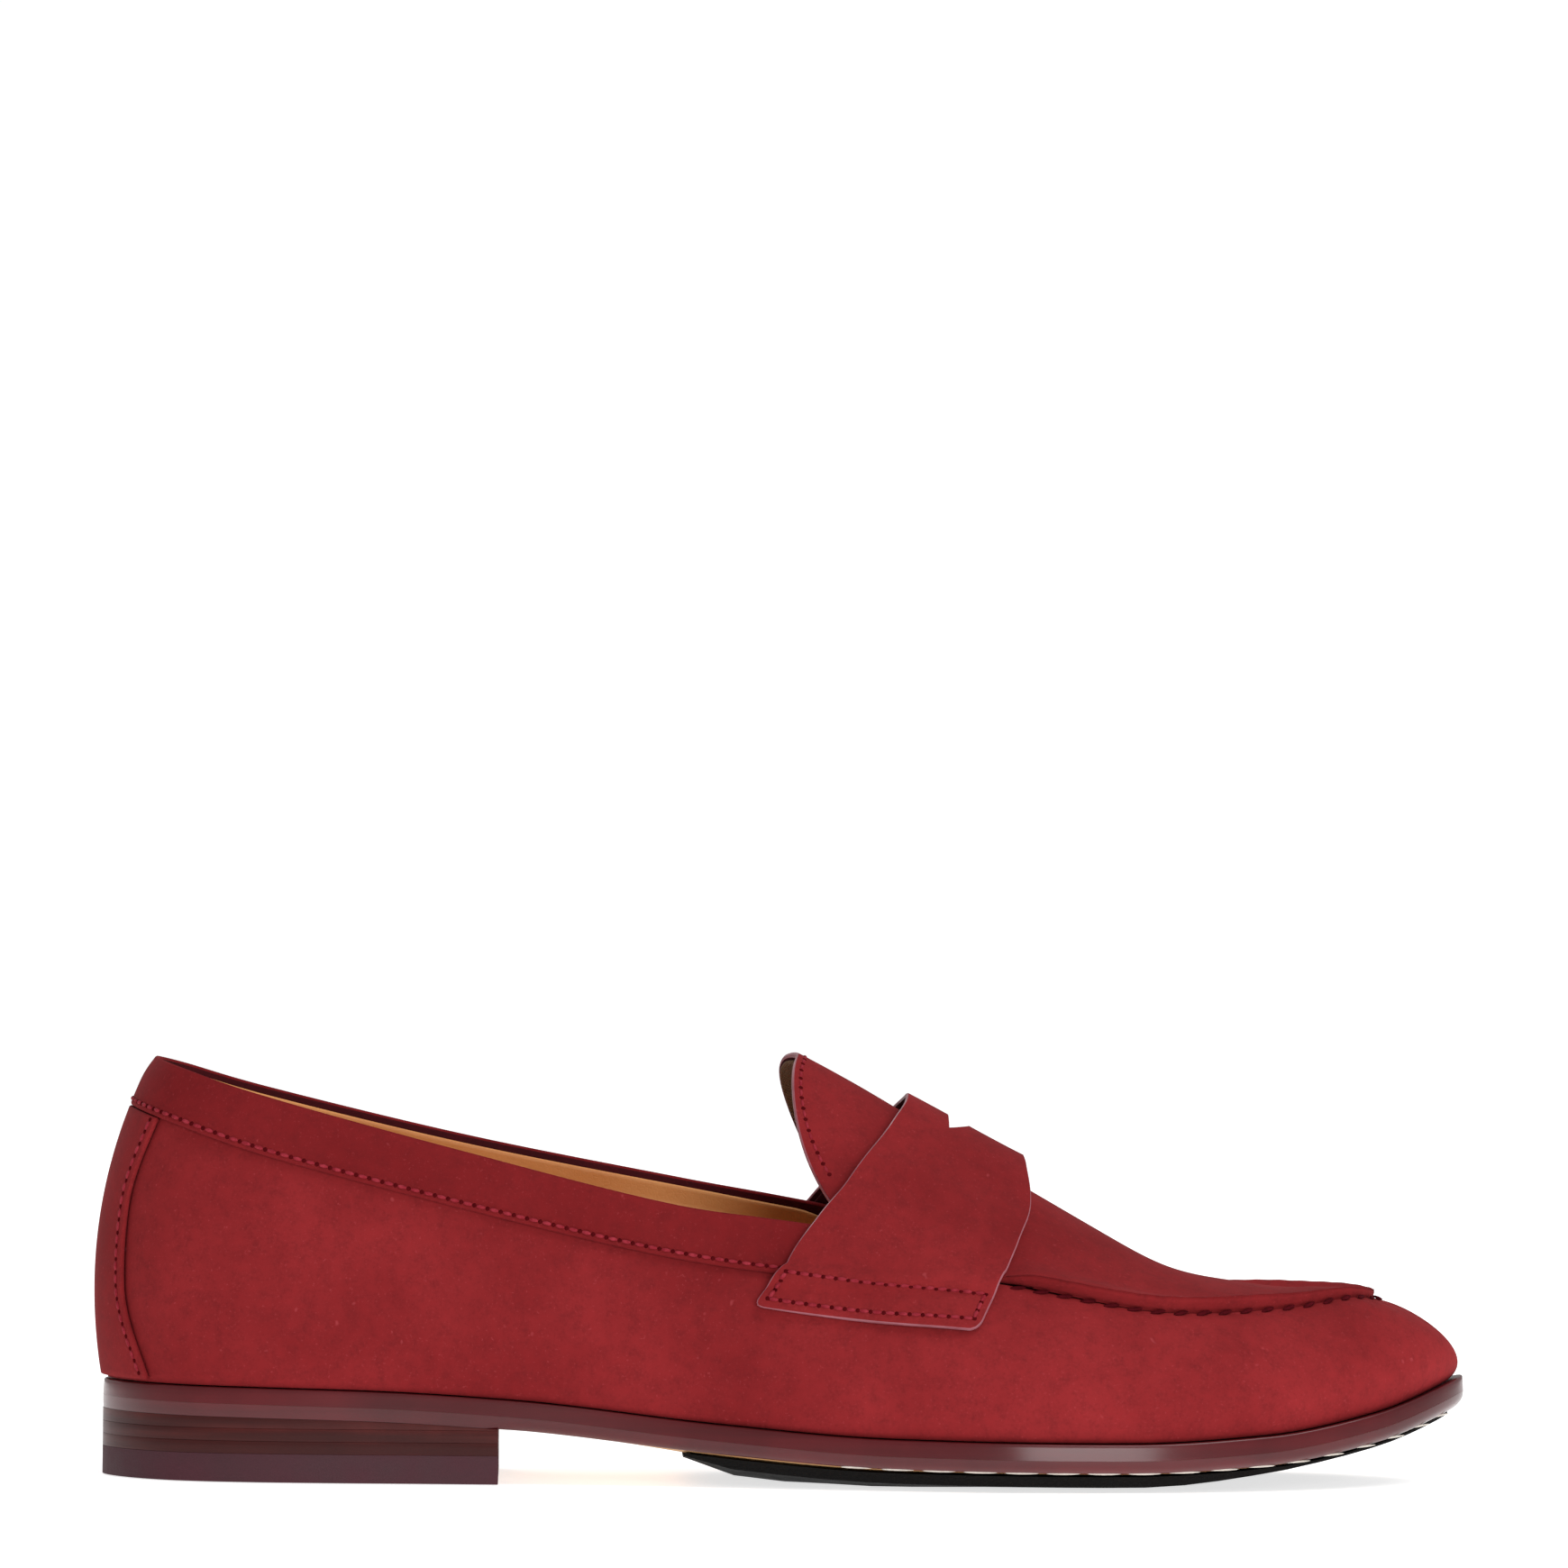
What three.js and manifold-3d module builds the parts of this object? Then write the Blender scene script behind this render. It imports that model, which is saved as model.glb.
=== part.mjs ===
// Penny loafer, right foot, toe towards +X, outer side towards -Y, standing on z = 0.
// Millimetres, +Z up. The origin is the middle of the shoe's box, on the ground.
//
// Every sheet of the upper is laid on one body surface, given by stations round the shoe: where the
// sole's edge runs, where the wall's upper edge (the rim) runs, and where the ridge of the instep runs.
// A place on the body is (t, level): t counts the stations round the shoe from the middle of the heel,
// along the outer side to the toe at t = TOE and back along the inner side, and level is 0 at the
// feather edge, 1 at the rim and 2 at the topline or on the ridge.

import * as THREE from "three";
import { mergeVertices } from "three/addons/utils/BufferGeometryUtils.js";
import Module from "manifold-3d";

const wasm = await Module();
wasm.setup();

// ---------------------------------------------------------------- driving sizes
const SOLE_LENGTH = 294.5;
const BALL_WIDTH = 99;
const SEAM_HEIGHT = 61.5; // collar seam at the back of the heel, above the feather edge
const INSTEP_HEIGHT = 83; // ridge at the rear end of the tongue, above the feather edge
const HEEL_LENGTH = 85.5; // back of the heel to its breast
const HEEL_SEAT = 20.6; // top of the midsole above the ground, at the back of the heel
const BALL_SEAT = 10.4; // the same under the ball of the foot
const TOE_SEAT = 23.3; // the same at the tip of the toe

const GAP = 0.3; // left between pieces that touch
const MIDSOLE = 3.5;
const OUTSOLE = 2.5;
const TREAD = 2.2; // rubber half sole
const TOP_LIFT = 5.8; // rubber top piece of the heel
const LIFT = 2.4; // each of the parallel leather lifts
const UPPER = 1.3; // upper leather
const TRIM = 1.1; // collar, back strip and strap leather
const LINING = 0.9;
const STIFFENER = 0.9;
const BACKING = 0.6;
const INSOLE = 2;
const SOCK = 1.2;
const HEEL_PAD = 3;
const SHANK = 1.2;
const SHANK_WIDTH = 14;
const SHANK_LENGTH = 104;
const LASTING_MARGIN = 11; // upper leather turned in under the insole
const COLLAR_OVERLAP = 3; // collar laid over the wall
const NAIL_RADIUS = 1;
const NAIL_HEAD_RADIUS = 2;
const NAIL_HEAD = 0.8;
const NAIL_CLEARANCE = 0.3;
const STRAP_RISE_REAR = 1.5; // underside of the strap above the ridge, at its rear edge
const STRAP_RISE_FRONT = 3.3; // and at its front edge
const SLOT_LENGTH = 23; // half-moon slot across the strap
const SLOT_WIDTH = 4.6;
const RIB = 3; // raised edge of the apron
const RIB_WIDTH = 3.2;
const THREAD = 1.1;
const TONGUE_GAP = 0.7; // between the tongue's root and the apron, at the ridge
const TONGUE_EASE = 5; // more of it at the sides, where the tongue swings

// ---------------------------------------------------------------- the stations
// edge: sole edge, as shares of the sole's length and of the ball's width.
// margin: sole standing out past the upper. rim: wall's upper edge, as edge, with its height as a
// share of SEAM_HEIGHT. swell: how far the wall's curve leans out and rises at the feather, and leans
// out and drops at the rim. collar: rise and lean of the collar from the rim to the topline.
const station = (edge, margin, rim, swell, collar) => ({ edge, margin, rim, swell, collar });
const STATIONS = [
  station([0, -0.016], 1, [0.0265, -0.016, 1], [3.6, 21, 8.4, 20], [7.4, 4.2]),
  station([0.036, -0.243], 1, [0.051, -0.202, 0.956], [3.4, 20, 6.7, 19], [8.6, 3.1]),
  station([0.112, -0.339], 1, [0.122, -0.284, 0.838], [3.2, 17, 4.4, 16], [10.2, 2]),
  station([0.265, -0.349], 1.2, [0.267, -0.317, 0.678], [2.4, 14, 3.5, 13], [10.4, 1.4]),
  station([0.411, -0.364], 1.5, [0.417, -0.336, 0.58], [2.8, 12, 4.5, 11], [9.9, 1.4]),
  station([0.547, -0.45], 2, [0.543, -0.354, 0.556], [4, 12, 6, 9], [9, 1.2]),
  station([0.659, -0.501], 2.2, [0.652, -0.334, 0.55], [4.6, 12, 9, 8], [2, 0.4]),
  station([0.784, -0.445], 2.3, [0.767, -0.289, 0.458], [4.8, 10, 9, 6.5], [2, 0.4]),
  station([0.89, -0.304], 2.5, [0.856, -0.183, 0.415], [4.8, 8, 10, 5.5], [2, 0.4]),
  station([0.966, -0.122], 2.7, [0.912, -0.072, 0.352], [4.8, 6, 12, 5], [2, 0.4]),
  station([1, 0.07], 2.8, [0.934, 0.065, 0.275], [4.8, 4.4, 14, 5], [2, 0.4]),
  station([0.981, 0.226], 2.7, [0.918, 0.181, 0.319], [4.8, 6, 12, 5], [2, 0.4]),
  station([0.917, 0.388], 2.5, [0.869, 0.267, 0.403], [4.8, 8, 10, 5.5], [2, 0.4]),
  station([0.815, 0.484], 2.3, [0.781, 0.322, 0.465], [4.8, 10, 9, 6.5], [2, 0.4]),
  station([0.7, 0.494], 2.2, [0.672, 0.327, 0.556], [4.6, 12, 9, 8], [2, 0.4]),
  station([0.581, 0.408], 2, [0.557, 0.312, 0.59], [4.6, 12, 7, 9], [9, 1.2]),
  station([0.428, 0.282], 1.5, [0.428, 0.282, 0.638], [4.6, 12, 5.5, 11], [10.2, 1.4]),
  station([0.265, 0.287], 1.2, [0.268, 0.272, 0.702], [2.8, 14, 3.8, 13], [10.6, 1.4]),
  station([0.112, 0.302], 1, [0.122, 0.249, 0.846], [3.2, 17, 4.4, 16], [10.2, 2]),
  station([0.036, 0.211], 1, [0.051, 0.17, 0.957], [3.4, 20, 6.7, 19], [8.6, 3.1]),
];
const COUNT = STATIONS.length;
const TOE = COUNT / 2;

// Ridge of the instep by station, counted from the heel: share of length, share of width, and height
// as a share of INSTEP_HEIGHT. It runs on behind the tongue only to carry the curve.
const RIDGE = [
  [0.285, 0, 1.32], [0.285, 0, 1.32], [0.285, 0, 1.32], [0.285, 0, 1.32], [0.428, 0, 1.085],
  [0.55, 0, 0.893], [0.662, 0.004, 0.662], [0.771, 0.014, 0.447], [0.842, 0.034, 0.371], [0.883, 0.05, 0.349],
  [0.896, 0.054, 0.34],
];

// Seat line of the sole: share of the length, and the height of the midsole's top between the named seats.
const SEAT_LINE = [
  [0, HEEL_SEAT],
  [0.19, HEEL_SEAT - 1],
  [0.3, HEEL_SEAT - 2.7],
  [0.45, BALL_SEAT + 2.9],
  [0.58, BALL_SEAT + 0.4],
  [0.75, BALL_SEAT - 0.1],
  [0.85, BALL_SEAT + 1.4],
  [0.93, (BALL_SEAT + TOE_SEAT) / 2 - 0.8],
  [1, TOE_SEAT],
];
// How far the middle of the sole's underside hangs below its edges.
const SOLE_CROWN = [
  [0, 0], [0.29, 0], [0.42, 1.6], [0.48, 3.4], [0.56, 3.2], [0.66, 2.1], [0.76, 2], [0.9, 1], [0.98, 0], [1, 0],
];

// ---------------------------------------------------------------- curves
const HEEL_X = -0.4965 * SOLE_LENGTH; // back of the sole, so that the box's middle is at the origin
const alongX = (share) => HEEL_X + share * SOLE_LENGTH;
const clamp01 = (value) => Math.min(1, Math.max(0, value));
const lerp = THREE.MathUtils.lerp;

function smooth(value, low, high) {
  const s = clamp01((value - low) / (high - low));
  return s * s * (3 - 2 * s);
}

// Catmull-Rom value of a list of equal-length rows at place t; the list is closed on itself.
function ring(rows, t) {
  const n = rows.length;
  const base = Math.floor(t);
  const s = t - base;
  const [a, b, c, d] = [-1, 0, 1, 2].map((k) => rows[(((base + k) % n) + n) % n]);
  return b.map((_, i) => 0.5 * (2 * b[i] + (c[i] - a[i]) * s
    + (2 * a[i] - 5 * b[i] + 4 * c[i] - d[i]) * s * s
    + (3 * b[i] - a[i] - 3 * c[i] + d[i]) * s * s * s));
}

// Smooth curve through [place, value] pairs, with slopes that don't overshoot.
function profile(points, place) {
  const last = points.length - 1;
  const x = Math.min(points[last][0], Math.max(points[0][0], place));
  const slope = (i) => (points[i + 1][1] - points[i][1]) / (points[i + 1][0] - points[i][0]);
  const tangent = (i) => {
    if (i === 0) return slope(0);
    if (i === last) return slope(last - 1);
    const [before, after] = [slope(i - 1), slope(i)];
    return before * after <= 0 ? 0 : (2 * before * after) / (before + after);
  };
  const i = Math.min(last - 1, Math.max(0, points.findIndex((p) => p[0] > x) - 1));
  const k = x >= points[last][0] ? last - 1 : i;
  const h = points[k + 1][0] - points[k][0];
  const s = (x - points[k][0]) / h;
  return points[k][1] * (2 * s ** 3 - 3 * s * s + 1) + tangent(k) * h * (s ** 3 - 2 * s * s + s)
    + points[k + 1][1] * (3 * s * s - 2 * s ** 3) + tangent(k + 1) * h * (s ** 3 - s * s);
}

const EDGE_ROWS = STATIONS.map((s) => [alongX(s.edge[0]), s.edge[1] * BALL_WIDTH, s.margin]);
const SWELL_ROWS = STATIONS.map((s) => s.swell);
const COLLAR_ROWS = STATIONS.map((s) => s.collar);
const RIDGE_ROWS = STATIONS.map((_, i) => RIDGE[Math.min(i, COUNT - i)]);
const shareOf = (x) => (x - HEEL_X) / SOLE_LENGTH;
const seat = (x) => profile(SEAT_LINE, shareOf(x));
const crown = (x) => profile(SOLE_CROWN, shareOf(x));
const RIM_ROWS = STATIONS.map((s) => {
  const x = alongX(s.rim[0]);
  return [x, s.rim[1] * BALL_WIDTH, seat(alongX(s.edge[0])) + s.rim[2] * SEAM_HEIGHT];
});

// Sole edge at t, moved in by inset, and the outward direction there.
function edge(t, inset = 0) {
  const [x, y] = ring(EDGE_ROWS, t);
  const step = 0.02;
  const [ax, ay] = ring(EDGE_ROWS, t - step);
  const [bx, by] = ring(EDGE_ROWS, t + step);
  const out = new THREE.Vector2(ay - by, bx - ax).negate().normalize();
  return { x: x - out.x * inset, y: y - out.y * inset, out };
}

function feather(t) {
  const margin = ring(EDGE_ROWS, t)[2];
  const e = edge(t, margin);
  return { point: new THREE.Vector3(e.x, e.y, seat(e.x) + GAP), out: e.out };
}

const rim = (t) => new THREE.Vector3(...ring(RIM_ROWS, t));

function ridge(t) {
  const [along, side, up] = ring(RIDGE_ROWS, t);
  return new THREE.Vector3(alongX(along), side * BALL_WIDTH, seat(alongX(along)) + up * INSTEP_HEIGHT);
}

// Topline above the rim. The collar runs out under the strap.
function topline(t) {
  const [rise, lean] = ring(COLLAR_ROWS, t);
  const { out } = feather(t);
  return rim(t).add(new THREE.Vector3(-out.x * lean, -out.y * lean, rise));
}

// ---------------------------------------------------------------- body surfaces, by (t, level)
const FLANGE_LEVEL = -0.25; // level of the inner end of the lasting margin

function wall(t, level) {
  const { point, out } = feather(t);
  const outward = new THREE.Vector3(out.x, out.y, 0);
  if (level < 0) {
    point.addScaledVector(outward, (-level / FLANGE_LEVEL) * LASTING_MARGIN);
    return point.setZ(seat(point.x) + GAP);
  }
  const [lean0, rise0, lean1, drop1] = ring(SWELL_ROWS, t);
  const top = rim(t);
  const share = clamp01((top.z - point.z) / (rise0 + drop1)); // on a low wall the curve keeps its order
  const low = point.clone().addScaledVector(outward, lean0).setZ(point.z + rise0 * share);
  const high = top.clone().addScaledVector(outward, lean1).setZ(top.z - drop1 * share);
  return new THREE.CubicBezierCurve3(point, low, high, top).getPoint(level);
}

const ARCH = 2; // power of the instep's cross-section

// Top of the foot: from the rim at level 1 over to the ridge at level 2.
function instep(t, level) {
  if (level <= 1) return wall(t, level);
  const w = 2 - level;
  const from = ridge(t);
  const to = rim(t);
  const across = from.clone().lerp(to, w);
  return across.setZ(lerp(from.z, to.z, Math.abs(w) ** ARCH));
}

// Rear of the foot: from the rim up to the topline, which sinks onto the instep where the strap covers it.
function quarter(t, level) {
  if (level <= 1) return wall(t, level);
  const covered = smooth(TOE - Math.abs(TOE - (t < 0 ? t + COUNT : t)), 4, 4.5);
  const climb = ((level - 1) * ring(COLLAR_ROWS, t)[0]) / (ridge(t).z - rim(t).z);
  return rim(t).lerp(topline(t), level - 1).lerp(instep(t, 2 - Math.sqrt(1 - climb)), covered);
}

// Point of a body surface moved out along its normal by depth.
function laid(surface, t, level, depth) {
  const step = 0.03;
  const near = Math.min(level, 2 - step); // past the ridge the surface turns down the other side
  const alongT = surface(t + step, near).sub(surface(t - step, near));
  const alongLevel = surface(t, near + step).sub(surface(t, near - step));
  const normal = alongT.cross(alongLevel).normalize();
  return surface(t, level).addScaledVector(normal, depth);
}

// Station count t on one side ("outer" or "inner") where a body surface reaches x at this level.
function stationAt(surface, x, level, outer) {
  let [low, high] = [3, TOE];
  for (let i = 0; i < 26; i++) {
    const middle = (low + high) / 2;
    if (surface(outer ? middle : COUNT - middle, level).x < x) low = middle;
    else high = middle;
  }
  return (low + high) / 2;
}

// ---------------------------------------------------------------- meshes
// Closed mesh from two grids of points, outside and inside, joined along their free borders.
// closed: the rows run round and meet. folded: the last row's two halves fall on each other, at the toe.
function shell(rows, columns, at, { closed = false, folded = false } = {}) {
  const positions = [];
  const rowCount = closed ? rows : rows + 1;
  const point = (i, j, outside) => at((i % rowCount === i ? i : 0) / rows, j / columns, outside);
  const quad = (a, b, c, d) => [a, b, c, a, c, d].forEach((p) => positions.push(p.x, p.y, p.z));
  for (let i = 0; i < rows; i++) {
    for (let j = 0; j < columns; j++) {
      const corner = (outside) => [point(i, j, outside), point(i + 1, j, outside),
        point(i + 1, j + 1, outside), point(i, j + 1, outside)];
      quad(...corner(true));
      quad(...corner(false).reverse());
    }
    for (const j of [0, columns]) {
      const strip = [point(i, j, true), point(i, j, false), point(i + 1, j, false), point(i + 1, j, true)];
      quad(...(j ? strip.reverse() : strip));
    }
  }
  const ends = folded ? [0] : [0, rows];
  for (const i of closed ? [] : ends) {
    for (let j = 0; j < columns; j++) {
      const strip = [point(i, j, true), point(i, j + 1, true), point(i, j + 1, false), point(i, j, false)];
      quad(...(i ? strip.reverse() : strip));
    }
  }
  return weld(positions);
}

// Merges equal points, drops what collapsed, and turns the mesh to face out.
function weld(positions) {
  const loose = new THREE.BufferGeometry()
    .setAttribute("position", new THREE.Float32BufferAttribute(positions, 3));
  const merged = mergeVertices(loose, 2e-3);
  const index = [...merged.index.array];
  const seen = new Map();
  const kept = [];
  for (let i = 0; i < index.length; i += 3) {
    const face = index.slice(i, i + 3);
    if (new Set(face).size < 3) continue;
    const key = [...face].sort((a, b) => a - b).join();
    if (seen.has(key)) {
      kept[seen.get(key)] = null; // two faces back to back, where a row folds on itself
      seen.delete(key);
    } else {
      seen.set(key, kept.push(face) - 1);
    }
  }
  const faces = kept.filter(Boolean);
  const p = merged.attributes.position;
  let volume = 0;
  for (const face of faces) {
    const [a, b, c] = face.map((k) => new THREE.Vector3().fromBufferAttribute(p, k));
    volume += a.dot(b.cross(c));
  }
  merged.setIndex(faces.flatMap((f) => (volume < 0 ? [f[0], f[2], f[1]] : f)));
  return merged;
}

function solid(geometry) {
  const plain = geometry.clone();
  plain.deleteAttribute("normal");
  plain.deleteAttribute("uv");
  const merged = mergeVertices(plain, 1e-3);
  return new wasm.Manifold(new wasm.Mesh({
    numProp: 3, vertProperties: merged.attributes.position.array, triVerts: new Uint32Array(merged.index.array),
  }));
}

function geometryOf(made) {
  const mesh = made.getMesh();
  return new THREE.BufferGeometry()
    .setAttribute("position", new THREE.BufferAttribute(mesh.vertProperties, 3))
    .setIndex(new THREE.BufferAttribute(mesh.triVerts, 1));
}

function cut(geometry, ...tools) {
  return geometryOf(tools.reduce((left, tool) => left.subtract(solid(tool)), solid(geometry)));
}

// A layer of the sole between two heights. The rows run from x "from" to x "to", each straight across.
function layer({ from = -Infinity, to = Infinity, inset, top, bottom, rows, columns }) {
  const place = (x, start, outer) => {
    let [low, high] = [0, TOE];
    for (let i = 0; i < 30; i++) {
      const middle = (low + high) / 2;
      if (edge(outer ? middle : COUNT - middle, inset).x < x) low = middle;
      else high = middle;
    }
    return Number.isFinite(x) ? low : start;
  };
  const ends = [true, false].map((outer) => [place(from, 0, outer), place(to, TOE, outer)]);
  return shell(rows, columns, (a, b, outside) => {
    const [l, m] = ends.map(([start, end]) => lerp(start, end, a));
    const [p, q] = [edge(l, inset), edge(COUNT - m, inset)];
    const [x, y] = [lerp(p.x, q.x, b), lerp(p.y, q.y, b)];
    return new THREE.Vector3(x, y, outside ? top(x, b) : bottom(x, b));
  });
}

// ---------------------------------------------------------------- finishes
function finish(color, roughness, metalness = 0) {
  return new THREE.MeshStandardMaterial({ color, roughness, metalness });
}
const NUBUCK = finish(0x8f2529, 0.95);
const EDGE_LEATHER = finish(0x5e2128, 0.4);
const STACK_LEATHER = finish(0x45201f, 0.45);
const HEEL_RUBBER = finish(0x4a262b, 0.7);
const BLACK_RUBBER = finish(0x1b1a1a, 0.75);
const TAN_LINING = finish(0xb07a3f, 0.7);
const TONGUE_CLOTH = finish(0x6b4a2c, 0.9);
const FIBREBOARD = finish(0xb9a284, 0.9);
const FOAM = finish(0xd8cfbf, 0.95);
const CORK = finish(0xa9794b, 0.95);
const STEEL = finish(0xb8babd, 0.35, 1);
const THREAD_RED = finish(0x4f141b, 0.6);

const shoe = new THREE.Group();
function add(name, geometry, material) {
  const mesh = new THREE.Mesh(geometry, material);
  mesh.name = name;
  shoe.add(mesh);
}

// ---------------------------------------------------------------- sole and heel
const BREAST_X = HEEL_X + HEEL_LENGTH;
const midsoleBottom = (x) => seat(x) - MIDSOLE;
const outsoleTop = (x) => midsoleBottom(x) - GAP;
const crowned = (x, b) => crown(x) * (1 - (2 * b - 1) ** 2);
const outsoleBottom = (x, b) => outsoleTop(x) - OUTSOLE - crowned(x, b);
const insoleBottom = (x) => seat(x) + GAP + UPPER + 1.5 * GAP;
const insoleTop = (x) => insoleBottom(x) + INSOLE;
const liftTop = TOP_LIFT + GAP + 2 * (LIFT + GAP); // top of the parallel lifts, under the wedge
const NAIL_INSET = LASTING_MARGIN + NAIL_RADIUS + 8 * NAIL_CLEARANCE; // clear of the turned-in upper
const NAILS = [[0, 0], [1.85, -1], [1.85, 1], [2.7, -1], [2.7, 1]].map(([station, side]) => {
  const { x, y } = edge(side < 0 ? station : COUNT - station, NAIL_INSET + (station ? 0 : 4));
  return { x, y };
});
const nailTop = (x) => insoleTop(x) + NAIL_HEAD;
const NAIL_POINT = TOP_LIFT + GAP + LIFT; // nails stop in the last leather lift

function nailHoles() {
  return NAILS.map(({ x, y }) => {
    const radius = NAIL_RADIUS + NAIL_CLEARANCE;
    const hole = new THREE.CylinderGeometry(radius, radius, SEAM_HEIGHT, 10);
    return hole.rotateX(Math.PI / 2).translate(x, y, NAIL_POINT - GAP + SEAM_HEIGHT / 2);
  });
}

const wholeSole = { inset: 0, rows: 34, columns: 6 };
add("midsole", cut(layer({
  ...wholeSole, columns: 2, top: seat, bottom: midsoleBottom,
}), ...nailHoles()), EDGE_LEATHER);
add("outsole", cut(layer({ ...wholeSole, top: outsoleTop, bottom: outsoleBottom }), ...nailHoles()), EDGE_LEATHER);

const heelBlock = { to: BREAST_X, inset: 0, rows: 12, columns: 2 };
add("heel_lift_1", cut(layer({
  ...heelBlock, top: (x) => outsoleTop(x) - OUTSOLE - GAP, bottom: () => liftTop,
}), ...nailHoles()), STACK_LEATHER);
for (const [name, above] of [["heel_lift_2", 1], ["heel_lift_3", 0]]) {
  const bottom = TOP_LIFT + GAP + above * (LIFT + GAP);
  const made = layer({ ...heelBlock, top: () => bottom + LIFT, bottom: () => bottom });
  add(name, above ? cut(made, ...nailHoles()) : made, STACK_LEATHER);
}
add("heel_top_lift", layer({ ...heelBlock, top: () => TOP_LIFT, bottom: () => 0 }), HEEL_RUBBER);

NAILS.forEach(({ x, y }, i) => {
  const top = nailTop(x);
  const low = NAIL_POINT + 0.2;
  const nail = new THREE.LatheGeometry([
    new THREE.Vector2(0, low - top), new THREE.Vector2(NAIL_RADIUS, low - top + 2),
    new THREE.Vector2(NAIL_RADIUS, -NAIL_HEAD + 0.1), new THREE.Vector2(NAIL_HEAD_RADIUS, -NAIL_HEAD + 0.1),
    new THREE.Vector2(NAIL_HEAD_RADIUS, 0), new THREE.Vector2(0, 0),
  ], 10).rotateX(Math.PI / 2).translate(x, y, top);
  add(`heel_nail_${i + 1}`, nail, STEEL);
});

const TREAD_FROM = alongX(0.425);
const TREAD_THIN = alongX(0.9); // forward of here the tread is a thin skin
const TREAD_INSET = 3.4;
const treadTop = (x, b) => {
  const share = (TREAD_INSET / BALL_WIDTH) * 2; // the tread is narrower than the sole it is glued to
  const wide = 0.5 + (b - 0.5) * (1 - share);
  return outsoleBottom(x, wide) - 1.6 * GAP;
};
add("forefoot_tread", layer({
  from: TREAD_FROM, inset: TREAD_INSET, rows: 24, columns: 6,
  top: (x, b) => Math.max(treadTop(x, b), 0.5),
  bottom: (x, b) => Math.max(0, treadTop(x, b) - TREAD * (0.25
    + 0.75 * smooth(x, TREAD_FROM, TREAD_FROM + 12) * (1 - smooth(x, TREAD_THIN - 40, TREAD_THIN)))),
}), BLACK_RUBBER);

// ---------------------------------------------------------------- inside the bottom
const INSOLE_INSET = 2.5 + UPPER + STIFFENER + LINING + 4 * GAP;
add("insole_board", cut(layer({
  inset: INSOLE_INSET, rows: 26, columns: 2, top: insoleTop, bottom: insoleBottom,
}), ...nailHoles()), FIBREBOARD);

const FILLER_INSET = 2.5 + LASTING_MARGIN + 4 * GAP;
const FILLER_FROM = alongX(0.56);
const fillerTop = (x) => insoleBottom(x) - GAP;
add("cork_filler", layer({
  from: FILLER_FROM, inset: FILLER_INSET, rows: 14, columns: 2, top: fillerTop, bottom: (x) => seat(x) + GAP,
}), CORK);

const SHANK_FROM = FILLER_FROM - GAP - SHANK_LENGTH;
function shank() {
  return shell(16, 2, (a, b, outside) => {
    const x = SHANK_FROM + a * SHANK_LENGTH;
    const y = (b - 0.5) * SHANK_WIDTH;
    return new THREE.Vector3(x, y, seat(x) + GAP + (outside ? SHANK : 0));
  });
}
add("steel_shank", cut(shank(), ...nailHoles()), STEEL);

const PAD_TO = alongX(0.33);
const padHeight = (x) => HEEL_PAD * (1 - smooth(x, alongX(0.2), PAD_TO - 1));
const padBottom = (x) => insoleTop(x) + NAIL_HEAD + GAP;
add("heel_pad", layer({
  to: PAD_TO, inset: INSOLE_INSET + 1.5, rows: 10, columns: 4,
  top: (x) => padBottom(x) + Math.max(0.4, padHeight(x)), bottom: padBottom,
}), FOAM);
const overPad = (x) => NAIL_HEAD + GAP + 0.4 + Math.max(0, padHeight(x) - 0.4);
const sockBottom = (x) => insoleTop(x) + GAP + overPad(x) * (1 - smooth(x, PAD_TO + 1, PAD_TO + 16));
add("sock_liner", layer({
  inset: INSOLE_INSET + 1.2, rows: 26, columns: 2, top: (x) => sockBottom(x) + SOCK, bottom: sockBottom,
}), TAN_LINING);

// ---------------------------------------------------------------- wall, collar, strip
// Levels of the wall's upper edge and of the apron's lower edge, a gap either side of the rim.
function wallTop(t) {
  const [, , lean, drop] = ring(SWELL_ROWS, t);
  return 1 - GAP / (3 * Math.hypot(lean, drop));
}
const apronEdge = (t) => 1 + GAP / rim(t).distanceTo(ridge(t));
add("side_wall", shell(3 * COUNT, 7, (a, b, outside) => {
  const level = b < 1 / 7 ? lerp(FLANGE_LEVEL, 0, b * 7) : lerp(0, wallTop(a * COUNT), (b * 7 - 1) / 6);
  return laid(wall, a * COUNT, level, outside ? 0 : -UPPER);
}, { closed: true }), NUBUCK);

const COLLAR_END = 16 / 3; // station where the collar runs out under the strap
const COLLAR_LEVEL = 1 - COLLAR_OVERLAP / SEAM_HEIGHT;
add("collar", shell(32, 3, (a, b, outside) => {
  const t = lerp(-COLLAR_END, COLLAR_END, a);
  const level = b < 1 / 3 ? lerp(COLLAR_LEVEL, 1.05, b * 3) : lerp(1.05, 2, (b * 3 - 1) / 2);
  return laid(quarter, t, level, GAP + (outside ? TRIM : 0));
}), NUBUCK);

const STRIP_HALF = [[0, 0.98], [0.35, 0.7], [0.65, 0.68], [1, 0.86]]; // half width, in stations, by level
add("back_strip", shell(12, 8, (a, b, outside) => {
  const level = lerp(0.015, COLLAR_LEVEL - 0.012, b);
  const half = profile(STRIP_HALF, b);
  return laid(wall, lerp(-half, half, a), level, GAP + (outside ? TRIM : 0));
}), NUBUCK);

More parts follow.
